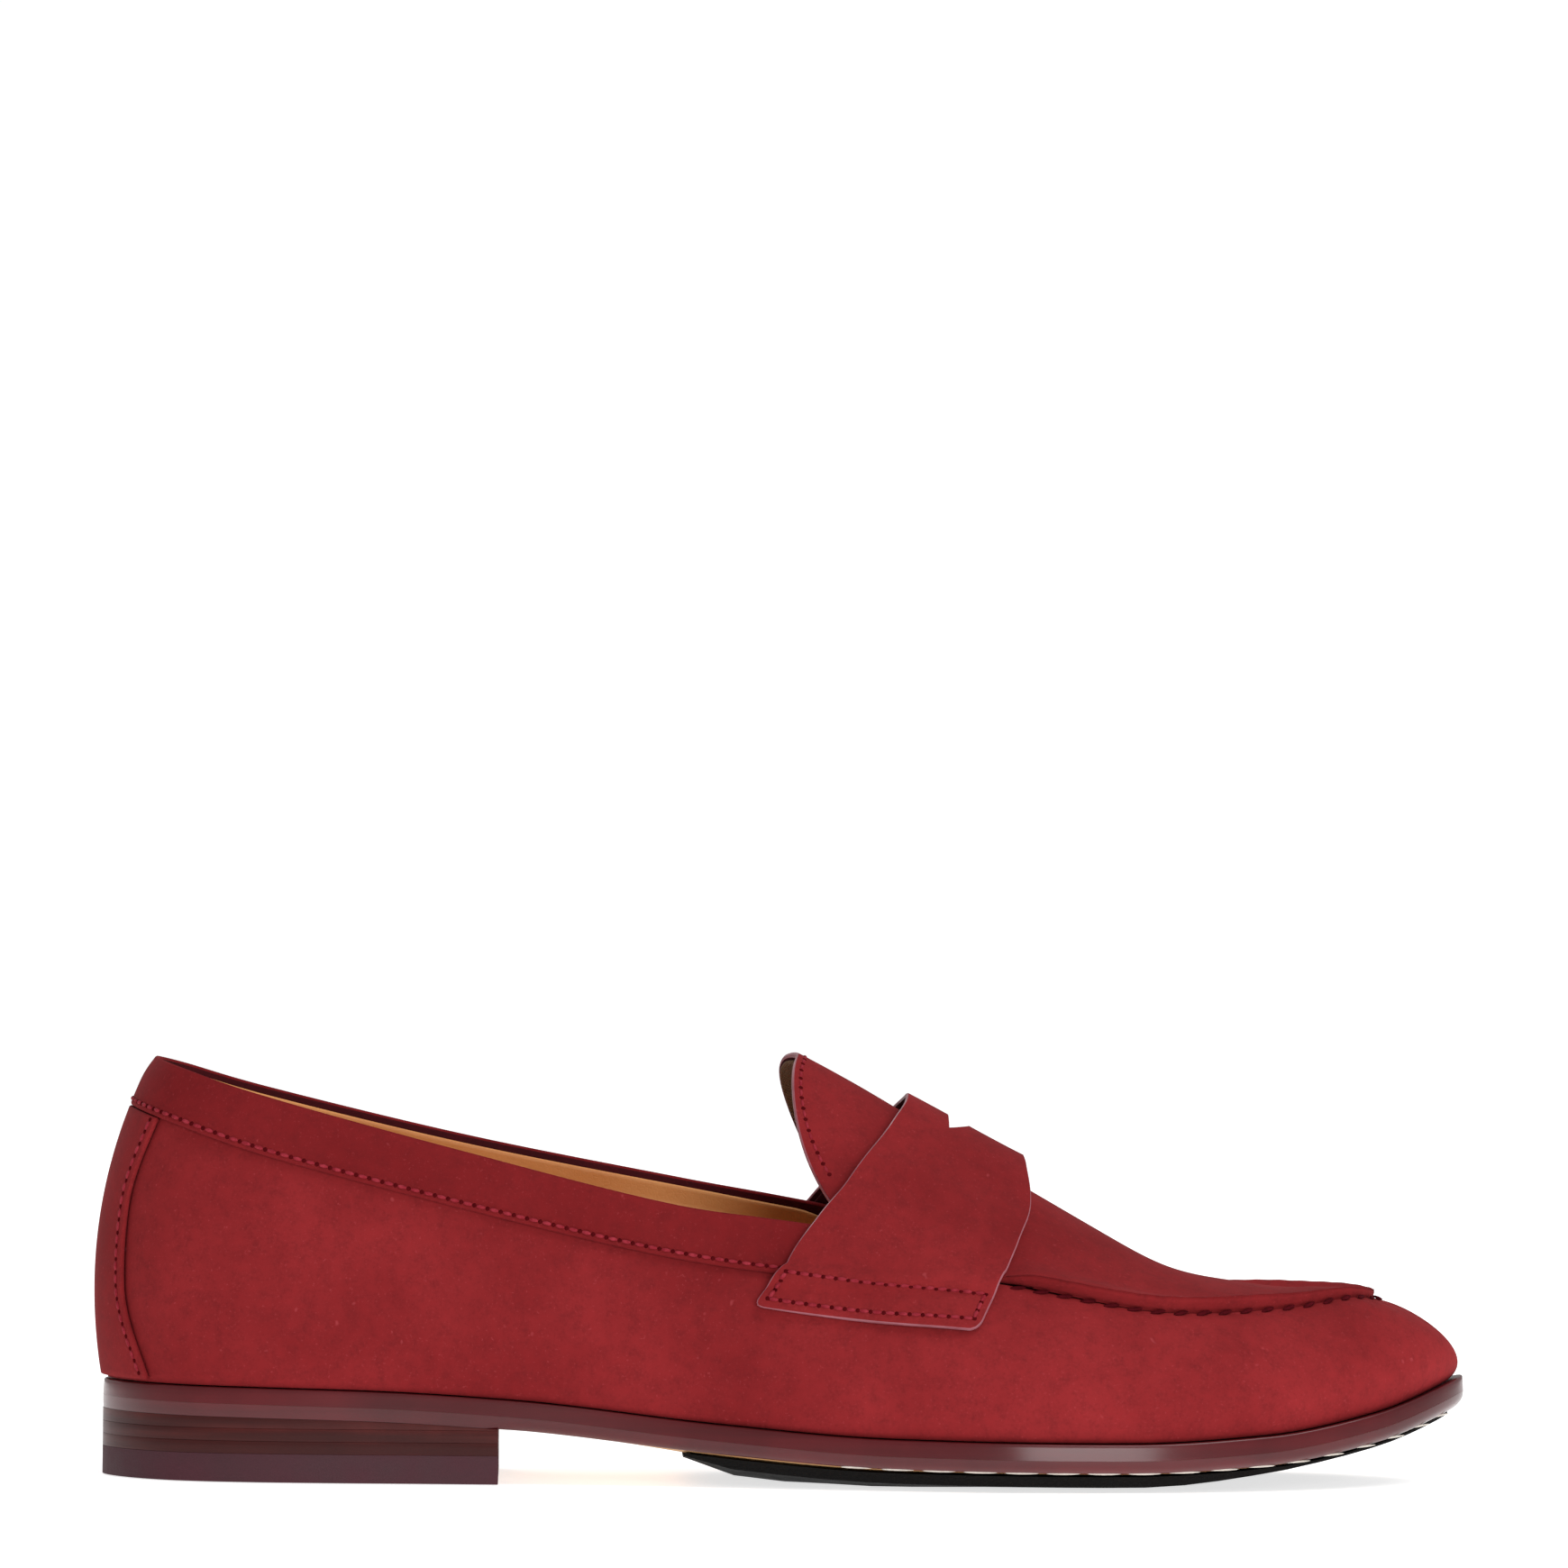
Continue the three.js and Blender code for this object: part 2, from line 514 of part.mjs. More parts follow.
// ---------------------------------------------------------------- stiffeners and linings
const STIFFENER_OUT = -UPPER - GAP - 0.1;
const LINING_OUT = STIFFENER_OUT - STIFFENER - GAP;
const COUNTER_END = 8 / 3;
const LOW_LEVEL = 0.075; // stiffeners and linings stand on the lasting margin
add("heel_counter", shell(16, 5, (a, b, outside) => {
  const t = lerp(-COUNTER_END, COUNTER_END, a);
  const top = lerp(0.84, 0.35, Math.abs(t / COUNTER_END) ** 4);
  return laid(wall, t, lerp(LOW_LEVEL, top, b), STIFFENER_OUT - (outside ? 0 : STIFFENER));
}), FIBREBOARD);

// A piece over the forefoot, from the outer feather over the ridge to the inner feather, closed at the toe.
function cap(rows, columns, { from, level, depth }) {
  return shell(rows, columns, (a, b, outside) => {
    const side = 2 * b - 1;
    const k = lerp(from(level(Math.abs(side), lerp(from(1), TOE, a))), TOE, a);
    const at = level(Math.abs(side), k);
    return laid(instep, side <= 0 ? k : COUNT - k, at, depth(at, outside, k));
  }, { folded: true });
}

add("toe_puff", cap(5, 12, {
  from: (level) => lerp(8.3, 7.9, clamp01(level - 1)),
  level: (side) => lerp(2, LOW_LEVEL * 1.6, side),
  depth: (_, outside) => STIFFENER_OUT - (outside ? 0 : STIFFENER),
}), FIBREBOARD);

const VAMP_REAR = 5.36; // station of the apron's rear edge, under the strap
const LINING_JOIN = 5; // station where the two linings meet on the wall
add("vamp_lining", cap(14, 16, {
  from: (level) => lerp(LINING_JOIN + 0.02, VAMP_REAR, smooth(level, 0.7, 1.1)),
  level: (side) => lerp(2, LOW_LEVEL * 1.6, side),
  depth: (_, outside, k) => LINING_OUT - 0.6 * smooth(k, 7.2, 7.8) - (outside ? 0 : LINING),
}), TAN_LINING);

add("quarter_lining", shell(30, 10, (a, b, outside) => {
  const t = lerp(-LINING_JOIN, LINING_JOIN, a);
  const top = lerp(1.97, 1.1, smooth(Math.abs(t), 4, 4.6));
  const level = b < 0.7 ? lerp(LOW_LEVEL * 1.6, 0.98, b / 0.7) : lerp(0.98, top, (b - 0.7) / 0.3);
  const depth = LINING_OUT * (1 - smooth(level, 1.02, 1.45));
  return laid(quarter, t, level, depth - 0.1 - (outside ? 0 : LINING));
}), TAN_LINING);

// ---------------------------------------------------------------- apron, tongue, strap
const ribHeight = (k) => RIB * smooth(k, 5.9, 6.25) * (1 - 0.4 * smooth(k, 7.5, 9));
add("apron", cap(20, 16, {
  from: () => VAMP_REAR,
  level: (side, k) => lerp(2, apronEdge(k), side < 0.75 ? side * 1.12 : lerp(0.84, 1, 4 * side - 3)),
  depth: (level, outside, k) => {
    const fromRim = (level - 1) * 30;
    return outside ? ribHeight(k) * Math.exp(-((fromRim / RIB_WIDTH) ** 2)) : -UPPER;
  },
}), NUBUCK);

// Thread of the hand-sewn seam, lying in the groove between the wall and the apron's raised edge.
const THREAD_FROM = 6.05;
function seamThread() {
  const points = [];
  for (let i = 0; i <= 40; i++) {
    const t = lerp(THREAD_FROM, COUNT - THREAD_FROM, i / 40);
    points.push(laid(wall, t, 0.955, THREAD / 2 + GAP));
  }
  const section = new THREE.Shape().absarc(0, 0, THREAD / 2, 0, 2 * Math.PI);
  return new THREE.ExtrudeGeometry(section, {
    steps: 72, curveSegments: 6, extrudePath: new THREE.CatmullRomCurve3(points),
  });
}
add("seam_thread", seamThread(), THREAD_RED);

const TONGUE_SIDE = 0.82; // half width of the tongue as a share of the way from the ridge to the rim
const TONGUE_REAR = alongX(0.502);
const tongueEnd = (c) => TONGUE_REAR + 9.5 * Math.abs(c) ** 5.5;
function tongueRoot(c, level) {
  return instep(VAMP_REAR, level).x - TONGUE_GAP - TONGUE_EASE * c * c;
}
function tongue(outsideDepth, thickness, inset) {
  return shell(8, 12, (a, b, outside) => {
    const c = 2 * b - 1;
    const level = 2 - Math.abs(c) * (TONGUE_SIDE - inset / 30);
    const x = lerp(tongueEnd(c) + inset, tongueRoot(c, level) - inset * 0.3, a);
    const k = stationAt(instep, x, level, c <= 0);
    return laid(instep, c <= 0 ? k : COUNT - k, level, outsideDepth - (outside ? 0 : thickness));
  });
}
add("tongue", tongue(0, UPPER, 0), NUBUCK);
add("tongue_lining", tongue(-UPPER - GAP, LINING, 0.6), TONGUE_CLOTH);

// Saddle strap. Its edges are given by level: 1 is over the rim and 2 over the ridge.
const STRAP_END_LEVEL = [0.72, 0.63]; // rear and front corner of each end, on the wall
const STRAP_REAR = [[0.7, alongX(0.477)], [1, alongX(0.499)], [1.13, alongX(0.52)], [1.26, alongX(0.5405)],
  [1.6, alongX(0.571)], [1.85, alongX(0.58)], [2, alongX(0.581)]];
const STRAP_FRONT = [[0.6, alongX(0.636)], [1, alongX(0.656)], [1.17, alongX(0.664)], [1.45, alongX(0.672)],
  [1.8, alongX(0.666)], [2, alongX(0.664)]];
function strapRise(level, a) {
  const end = GAP;
  const overCollar = (TRIM + 1.5 * GAP) * (1 - smooth(level, 1.3, 1.7));
  const ridgeRise = lerp(STRAP_RISE_REAR, STRAP_RISE_FRONT, a) * smooth(level, 1.05, 1.9);
  return end + Math.max(overCollar, ridgeRise) * smooth(level, 0.84, 0.92);
}
function strap(depth, thickness, inset) {
  return shell(8, 22, (a, b, outside) => {
    const side = 2 * b - 1;
    const endLevel = lerp(...STRAP_END_LEVEL, a) + inset / 30;
    const level = 2 - Math.abs(side) * (2 - endLevel);
    const x = lerp(profile(STRAP_REAR, level) + inset, profile(STRAP_FRONT, level) - inset, a);
    const k = stationAt(instep, x, level, side <= 0);
    const under = strapRise(level, a) + depth;
    return laid(instep, side <= 0 ? k : COUNT - k, level, under + (outside ? thickness : 0));
  });
}

// Half-moon through the strap: straight towards the heel, round towards the toe.
function slotCutter(grow) {
  const half = SLOT_LENGTH / 2 + grow;
  const width = SLOT_WIDTH + grow;
  const radius = (half * half + width * width) / (2 * width);
  const angle = Math.asin(half / radius);
  const moon = new THREE.Shape();
  moon.absarc(width - radius, 0, radius, -angle, angle);
  moon.closePath();
  const slotX = alongX(0.618) - grow;
  return new THREE.ExtrudeGeometry(moon, { depth: INSTEP_HEIGHT, bevelEnabled: false, curveSegments: 7 })
    .translate(slotX, 0.02 * BALL_WIDTH, BALL_SEAT + INSTEP_HEIGHT / 2);
}
add("strap_lining", cut(strap(0, BACKING, 1.2), slotCutter(1)), TAN_LINING);
add("saddle_strap", cut(strap(BACKING + 2 * GAP, TRIM, 0), slotCutter(0)), NUBUCK);

export default shoe;
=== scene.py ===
"""Penny loafer in red nubuck: the visible surfaces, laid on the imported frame.

The upper's sheets are laid on one body surface, given by stations round the shoe. A place on it is
(t, level): t counts the stations from the middle of the heel, along the outer side to the toe and back
along the inner side, and level is 0 at the feather edge, 1 at the rim, 2 at the topline or the ridge.
Sizes are millimetres until a mesh is made, and metres after that.
"""

import logging
import math
from dataclasses import dataclass, field
from enum import Enum
from typing import Callable, Optional, Sequence

import bmesh
import bpy
import numpy as np
from mathutils import Matrix, Vector

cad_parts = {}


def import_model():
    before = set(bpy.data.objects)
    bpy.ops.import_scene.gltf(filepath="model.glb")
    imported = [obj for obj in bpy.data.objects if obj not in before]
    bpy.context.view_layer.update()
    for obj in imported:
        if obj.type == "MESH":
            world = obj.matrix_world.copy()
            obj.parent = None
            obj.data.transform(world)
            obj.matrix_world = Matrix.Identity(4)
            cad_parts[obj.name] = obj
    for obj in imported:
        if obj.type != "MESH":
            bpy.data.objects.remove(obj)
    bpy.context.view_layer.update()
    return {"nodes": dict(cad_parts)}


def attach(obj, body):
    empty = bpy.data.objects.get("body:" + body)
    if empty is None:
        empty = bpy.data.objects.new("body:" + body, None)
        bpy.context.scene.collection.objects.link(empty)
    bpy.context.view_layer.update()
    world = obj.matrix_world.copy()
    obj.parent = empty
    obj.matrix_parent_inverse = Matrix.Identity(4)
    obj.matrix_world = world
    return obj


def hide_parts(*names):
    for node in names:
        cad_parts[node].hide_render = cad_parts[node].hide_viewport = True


LOG = logging.getLogger("loafer")
MM = 0.001
Array = np.ndarray
Surface = Callable[[Array, Array], Array]


# ---------------------------------------------------------------- the last
SOLE_LENGTH = 294.5
BALL_WIDTH = 99.0
SEAM_HEIGHT = 61.5
INSTEP_HEIGHT = 83.0
HEEL_LENGTH = 85.5
HEEL_SEAT = 20.6
BALL_SEAT = 10.4
TOE_SEAT = 23.3
GAP = 0.3
MIDSOLE = 3.5
OUTSOLE = 2.5
TOP_LIFT = 5.8
LIFT = 2.4
UPPER = 1.3
TRIM = 1.1
LINING = 0.9
STIFFENER = 0.9
BACKING = 0.6
INSOLE = 2.0
SOCK = 1.2
LASTING_MARGIN = 11.0
HEEL_X = -0.4965 * SOLE_LENGTH
FLANGE_LEVEL = -0.25
COUNT = 20
TOE = 10.0
# Leather in one level, in mm: over the instep, and on the wall under the strap's ends.
INSTEP_LEVEL = 30.0
WALL_LEVEL = 34.0

# Sole edge x, y; margin; rim x, y, height; swell at feather and rim; collar rise and lean.
STATIONS = np.array([
    [0, -0.016, 1, 0.0265, -0.016, 1, 3.6, 21, 8.4, 20, 7.4, 4.2],
    [0.036, -0.243, 1, 0.051, -0.202, 0.956, 3.4, 20, 6.7, 19, 8.6, 3.1],
    [0.112, -0.339, 1, 0.122, -0.284, 0.838, 3.2, 17, 4.4, 16, 10.2, 2],
    [0.265, -0.349, 1.2, 0.267, -0.317, 0.678, 2.4, 14, 3.5, 13, 10.4, 1.4],
    [0.411, -0.364, 1.5, 0.417, -0.336, 0.58, 2.8, 12, 4.5, 11, 9.9, 1.4],
    [0.547, -0.45, 2, 0.543, -0.354, 0.556, 4, 12, 6, 9, 9, 1.2],
    [0.659, -0.501, 2.2, 0.652, -0.334, 0.55, 4.6, 12, 9, 8, 2, 0.4],
    [0.784, -0.445, 2.3, 0.767, -0.289, 0.458, 4.8, 10, 9, 6.5, 2, 0.4],
    [0.89, -0.304, 2.5, 0.856, -0.183, 0.415, 4.8, 8, 10, 5.5, 2, 0.4],
    [0.966, -0.122, 2.7, 0.912, -0.072, 0.352, 4.8, 6, 12, 5, 2, 0.4],
    [1, 0.07, 2.8, 0.934, 0.065, 0.275, 4.8, 4.4, 14, 5, 2, 0.4],
    [0.981, 0.226, 2.7, 0.918, 0.181, 0.319, 4.8, 6, 12, 5, 2, 0.4],
    [0.917, 0.388, 2.5, 0.869, 0.267, 0.403, 4.8, 8, 10, 5.5, 2, 0.4],
    [0.815, 0.484, 2.3, 0.781, 0.322, 0.465, 4.8, 10, 9, 6.5, 2, 0.4],
    [0.7, 0.494, 2.2, 0.672, 0.327, 0.556, 4.6, 12, 9, 8, 2, 0.4],
    [0.581, 0.408, 2, 0.557, 0.312, 0.59, 4.6, 12, 7, 9, 9, 1.2],
    [0.428, 0.282, 1.5, 0.428, 0.282, 0.638, 4.6, 12, 5.5, 11, 10.2, 1.4],
    [0.265, 0.287, 1.2, 0.268, 0.272, 0.702, 2.8, 14, 3.8, 13, 10.6, 1.4],
    [0.112, 0.302, 1, 0.122, 0.249, 0.846, 3.2, 17, 4.4, 16, 10.2, 2],
    [0.036, 0.211, 1, 0.051, 0.17, 0.957, 3.4, 20, 6.7, 19, 8.6, 3.1],
])
RIDGE = np.array([
    [0.285, 0, 1.32], [0.285, 0, 1.32], [0.285, 0, 1.32], [0.285, 0, 1.32], [0.428, 0, 1.085],
    [0.55, 0, 0.893], [0.662, 0.004, 0.662], [0.771, 0.014, 0.447], [0.842, 0.034, 0.371],
    [0.883, 0.05, 0.349], [0.896, 0.054, 0.34],
])
SEAT_LINE = np.array([
    [0, HEEL_SEAT], [0.19, HEEL_SEAT - 1], [0.3, HEEL_SEAT - 2.7], [0.45, BALL_SEAT + 2.9],
    [0.58, BALL_SEAT + 0.4], [0.75, BALL_SEAT - 0.1], [0.85, BALL_SEAT + 1.4],
    [0.93, (BALL_SEAT + TOE_SEAT) / 2 - 0.8], [1, TOE_SEAT],
])
SOLE_CROWN = np.array([
    [0, 0], [0.29, 0], [0.42, 1.6], [0.48, 3.4], [0.56, 3.2], [0.66, 2.1], [0.76, 2], [0.9, 1],
    [0.98, 0], [1, 0],
])


def along(share: float) -> float:
    """Place along the shoe, in mm, for a share of the sole's length."""
    return HEEL_X + share * SOLE_LENGTH


def mix(low: Array, high: Array, share: Array) -> Array:
    """Straight blend of two values."""
    return low + (high - low) * share


def smooth(value: Array, low: float, high: float) -> Array:
    """Smooth step from 0 at low to 1 at high."""
    s = np.clip((np.asarray(value, float) - low) / (high - low), 0, 1)
    return s * s * (3 - 2 * s)


def ring(rows: Array, t: Array) -> Array:
    """Closed Catmull-Rom curve through rows.

    Args:
        rows: one row of numbers for each station.
        t: places, in stations.

    Returns:
        The rows' values at t, along a new last axis.
    """
    t = np.asarray(t, float)
    base = np.floor(t).astype(int)
    s = (t - base)[..., None]
    a, b, c, d = (rows[(base + k) % len(rows)] for k in (-1, 0, 1, 2))
    square = (2 * a - 5 * b + 4 * c - d) * s * s
    return 0.5 * (2 * b + (c - a) * s + square + (3 * b - a - 3 * c + d) * s ** 3)


def profile(points: Array, place: Array) -> Array:
    """Smooth curve through [place, value] pairs that doesn't overshoot."""
    x, y = points[:, 0], points[:, 1]
    slope = np.diff(y) / np.diff(x)
    before, after = slope[:-1], slope[1:]
    total = np.where(before + after == 0, 1, before + after)
    inner = np.where(before * after <= 0, 0, 2 * before * after / total)
    tangent = np.concatenate([slope[:1], inner, slope[-1:]])
    place = np.clip(np.asarray(place, float), x[0], x[-1])
    i = np.clip(np.searchsorted(x, place, side="right") - 1, 0, len(x) - 2)
    h = x[i + 1] - x[i]
    s = (place - x[i]) / h
    rise = y[i] * (2 * s ** 3 - 3 * s * s + 1) + y[i + 1] * (3 * s * s - 2 * s ** 3)
    return rise + h * (tangent[i] * (s ** 3 - 2 * s * s + s) + tangent[i + 1] * (s ** 3 - s * s))


def unit(v: Array) -> Array:
    """Vectors scaled to length 1."""
    return v / np.maximum(np.linalg.norm(v, axis=-1, keepdims=True), 1e-12)


class Last:
    """The body that the upper is laid on."""

    def __init__(self) -> None:
        """Turns the stations' shares into millimetres."""
        s = STATIONS
        self.edges = np.stack([along(s[:, 0]), s[:, 1] * BALL_WIDTH, s[:, 2]], 1)
        heights = self.seat(along(s[:, 0])) + s[:, 5] * SEAM_HEIGHT
        self.rims = np.stack([along(s[:, 3]), s[:, 4] * BALL_WIDTH, heights], 1)
        self.swells = s[:, 6:10]
        self.collars = s[:, 10:12]
        self.ridges = RIDGE[[min(i, COUNT - i) for i in range(COUNT)]]

    def seat(self, x: Array) -> Array:
        """Height of the midsole's top at x."""
        return profile(SEAT_LINE, (x - HEEL_X) / SOLE_LENGTH)

    def crown(self, x: Array) -> Array:
        """How far the middle of the sole's underside hangs at x."""
        return profile(SOLE_CROWN, (x - HEEL_X) / SOLE_LENGTH)

    def edge(self, t: Array, inset: Array = 0.0) -> tuple[Array, Array]:
        """Sole edge at t moved in by inset, and the outward direction there."""
        row = ring(self.edges, t)
        a, b = ring(self.edges, np.asarray(t) - 0.02), ring(self.edges, np.asarray(t) + 0.02)
        out = unit(np.stack([b[..., 1] - a[..., 1], a[..., 0] - b[..., 0]], -1))
        return row[..., :2] - out * np.asarray(inset)[..., None], out

    def feather(self, t: Array) -> tuple[Array, Array]:
        """Point where the upper meets the sole at t, and the level outward direction."""
        e, out = self.edge(t, ring(self.edges, t)[..., 2])
        point = np.concatenate([e, (self.seat(e[..., 0]) + GAP)[..., None]], -1)
        return point, np.concatenate([out, np.zeros(out.shape[:-1] + (1,))], -1)

    def rim(self, t: Array) -> Array:
        """Upper edge of the wall at t."""
        return ring(self.rims, t)

    def ridge(self, t: Array) -> Array:
        """Ridge of the instep at t."""
        r = ring(self.ridges, t)
        x = along(r[..., 0])
        return np.stack([x, r[..., 1] * BALL_WIDTH, self.seat(x) + r[..., 2] * INSTEP_HEIGHT], -1)

    def wall(self, t: Array, level: Array) -> Array:
        """Side of the shoe, with the margin turned in under the insole below level 0."""
        t, level = np.broadcast_arrays(np.asarray(t, float), np.asarray(level, float))
        foot, out = self.feather(t)
        swell, top = ring(self.swells, t), self.rim(t)
        share = np.clip((top[..., 2] - foot[..., 2]) / (swell[..., 1] + swell[..., 3]), 0, 1)
        low, high = foot + out * swell[..., 0:1], top + out * swell[..., 2:3]
        low[..., 2] = foot[..., 2] + swell[..., 1] * share
        high[..., 2] = top[..., 2] - swell[..., 3] * share
        v = level[..., None]
        curve = (1 - v) ** 3 * foot + 3 * (1 - v) ** 2 * v * low + 3 * (1 - v) * v * v * high + v ** 3 * top
        turned = foot + out * (-level / FLANGE_LEVEL * LASTING_MARGIN)[..., None]
        turned[..., 2] = self.seat(turned[..., 0]) + GAP
        return np.where(v < 0, turned, curve)

    def instep(self, t: Array, level: Array) -> Array:
        """Top of the foot, from the wall over to the ridge at level 2."""
        t, level = np.broadcast_arrays(np.asarray(t, float), np.asarray(level, float))
        w = (2 - level)[..., None]
        start, end = self.ridge(t), self.rim(t)
        over = mix(start, end, w)
        over[..., 2] = mix(start[..., 2], end[..., 2], np.abs(w[..., 0]) ** 2)
        return np.where(level[..., None] <= 1, self.wall(t, np.minimum(level, 1)), over)

    def quarter(self, t: Array, level: Array) -> Array:
        """Rear of the foot, up to the topline, which sinks onto the instep under the strap."""
        t, level = np.broadcast_arrays(np.asarray(t, float), np.asarray(level, float))
        start = self.rim(t)
        collar = ring(self.collars, t)
        _, out = self.feather(t)
        top = start - out * collar[..., 1:2]
        top[..., 2] += collar[..., 0]
        covered = smooth(TOE - np.abs(TOE - np.mod(t, COUNT)), 4, 4.5)[..., None]
        climb = (level - 1) * collar[..., 0] / (self.ridge(t)[..., 2] - start[..., 2])
        sunk = self.instep(t, 2 - np.sqrt(np.clip(1 - climb, 0, 1)))
        above = mix(mix(start, top, (level - 1)[..., None]), sunk, covered)
        return np.where(level[..., None] <= 1, self.wall(t, np.minimum(level, 1)), above)

    def normal(self, surface: Surface, t: Array, level: Array) -> Array:
        """Outward direction of a body surface."""
        near = np.minimum(level, 1.97)
        by_t = surface(t + 0.03, near) - surface(t - 0.03, near)
        by_level = surface(t, near + 0.03) - surface(t, near - 0.03)
        return unit(np.cross(by_t, by_level))

    def laid(self, surface: Surface, t: Array, level: Array, depth: Array) -> Array:
        """Point of a body surface moved out along its normal by depth."""
        t, level, depth = np.broadcast_arrays(*(np.asarray(v, float) for v in (t, level, depth)))
        return surface(t, level) + self.normal(surface, t, level) * depth[..., None]

    def path(self, surface: Surface, t: Array, level: Array, depth: Array) -> tuple[Array, Array]:
        """Points of a body surface moved out by depth, and the outward directions there."""
        return self.laid(surface, t, level, depth), self.normal(surface, t, level)

    def station_at(self, x: Array, level: Array, outer: Array) -> Array:
        """Station, on the outer or the inner side, where the instep reaches x at this level."""
        x, level, outer = np.broadcast_arrays(x, level, outer)
        low, high = np.full(x.shape, 3.0), np.full(x.shape, TOE)
        for _ in range(24):
            middle = (low + high) / 2
            short = self.instep(np.where(outer, middle, COUNT - middle), level)[..., 0] < x
            low, high = np.where(short, middle, low), np.where(short, high, middle)
        found = (low + high) / 2
        return np.where(outer, found, COUNT - found)


LAST = Last()


# ---------------------------------------------------------------- meshes
class Side(Enum):
    """Material index of a sheet's three kinds of face."""

    FACE = 0
    BACK = 1
    RIM = 2


def new_object(name: str, points: Array, faces: list,
               indices: Optional[Sequence[int]] = None) -> bpy.types.Object:
    """Makes a smooth-shaded mesh object from points in mm.

    Args:
        name: the object's name.
        points: one row for each vertex, in mm.
        faces: vertex numbers of each face.
        indices: each face's material index.

    Returns:
        The new object, linked to the scene.
    """
    mesh = bpy.data.meshes.new(name)
    mesh.from_pydata((np.asarray(points) * MM).tolist(), [], [list(map(int, f)) for f in faces])
    if indices is not None:
        mesh.polygons.foreach_set("material_index", np.asarray(indices, np.int32))
    mesh.polygons.foreach_set("use_smooth", [True] * len(mesh.polygons))
    made = bpy.data.objects.new(name, mesh)
    bpy.context.scene.collection.objects.link(made)
    return made


def weld(piece: bpy.types.Object, distance: float = 0.004) -> None:
    """Merges a mesh's doubled vertices, drops collapsed faces and turns the faces outwards."""
    bm = bmesh.new()
    bm.from_mesh(piece.data)
    bmesh.ops.remove_doubles(bm, verts=bm.verts, dist=distance * MM)
    bmesh.ops.dissolve_degenerate(bm, dist=1e-7, edges=bm.edges)
    bmesh.ops.recalc_face_normals(bm, faces=bm.faces)
    bm.to_mesh(piece.data)
    bm.free()
    piece.data.update()


def borders(rows: int, columns: int, closed: bool, folded: bool) -> list[tuple[list, bool]]:
    """Free borders of a grid, as lists of (row, column), each with whether it runs round."""
    if closed:
        return [([(r, 0) for r in range(rows)], True), ([(r, columns - 1) for r in range(rows)], True)]
    path = [(r, 0) for r in range(rows - 1, 0, -1)] + [(0, c) for c in range(columns)]
    path += [(r, columns - 1) for r in range(1, rows)]
    if folded:
        return [(path, False)]
    return [(path + [(rows - 1, c) for c in range(columns - 2, 0, -1)], True)]


def sheet(name: str, outside: Array, inside: Array, round_over: float = 0.3, closed: bool = False,
          folded: bool = False, steps: int = 5) -> bpy.types.Object:
    """Closed sheet of leather between two grids of points, with rounded rims.

    Args:
        name: the object's name.
        outside: grid of points of the outer face, rows by columns by 3, in mm.
        inside: the same for the inner face.
        round_over: how far the rim bulges between the two faces.
        closed: the rows run round and meet.
        folded: the last row's two halves fall on each other, as at the toe.
        steps: faces across the rim.

    Returns:
        The sheet, with its face, back and rim in the material indices of Side.
    """
    rows, columns = outside.shape[:2]
    grids = [outside.copy(), inside.copy()]
    loops = borders(rows, columns, closed, folded)
    outward = []
    for path, _ in loops:
        r, c = np.array(path).T
        inner_r = r if closed else np.clip(r, 1, rows - 1 if folded else rows - 2)
        inner_c = np.clip(c, 1, columns - 2)
        away = [unit(g[r, c] - g[inner_r, inner_c]) for g in (outside, inside)]
        outward.append(away)
        for face, direction in zip(grids, away):
            face[r, c] -= direction * round_over
    number = np.arange(rows * columns).reshape(rows, columns)
    if closed:
        number = np.vstack([number, number[:1]])
    corners = [number[:-1, :-1], number[1:, :-1], number[1:, 1:], number[:-1, 1:]]
    front = np.stack(corners, -1).reshape(-1, 4)
    points = [grids[0].reshape(-1, 3), grids[1].reshape(-1, 3)]
    faces = [front, front[:, ::-1] + rows * columns]
    kinds = [Side.FACE.value] * len(front) + [Side.BACK.value] * len(front)
    total = 2 * rows * columns
    for (path, cyclic), away in zip(loops, outward):
        r, c = np.array(path).T
        ids = [r * columns + c]
        for k in range(1, steps):
            s = k / steps
            bulge = round_over * (1 - abs(2 * s - 1) ** 2.6) ** (1 / 2.6)
            row = mix(grids[0][r, c], grids[1][r, c], s) + mix(away[0], away[1], s) * bulge
            points.append(row)
            ids.append(total + np.arange(len(r)))
            total += len(r)
        ids.append(r * columns + c + rows * columns)
        for low, high in zip(ids[:-1], ids[1:]):
            if cyclic:
                strip = np.stack([low, high, np.roll(high, -1), np.roll(low, -1)], -1)
            else:
                strip = np.stack([low[:-1], high[:-1], high[1:], low[1:]], -1)
            faces.append(strip)
            kinds += [Side.RIM.value] * len(strip)
    made = new_object(name, np.vstack(points), list(np.vstack(faces)), kinds)
    weld(made)
    return made


def lay(name: str, surface: Surface, t: Array, level: Array, low: Array, high: Array,
        **options: object) -> bpy.types.Object:
    """Sheet of leather on a body surface, from the depth low to the depth high above it."""
    return sheet(name, LAST.laid(surface, t, level, high), LAST.laid(surface, t, level, low), **options)


def deselect() -> None:
    """Leaves nothing selected, in object mode."""
    if bpy.context.object and bpy.context.object.mode != "OBJECT":
        bpy.ops.object.mode_set(mode="OBJECT")
    bpy.ops.object.select_all(action="DESELECT")


def select(piece: bpy.types.Object) -> None:
    """Makes a piece the only selected and the active one."""
    deselect()
    piece.select_set(True)
    bpy.context.view_layer.objects.active = piece


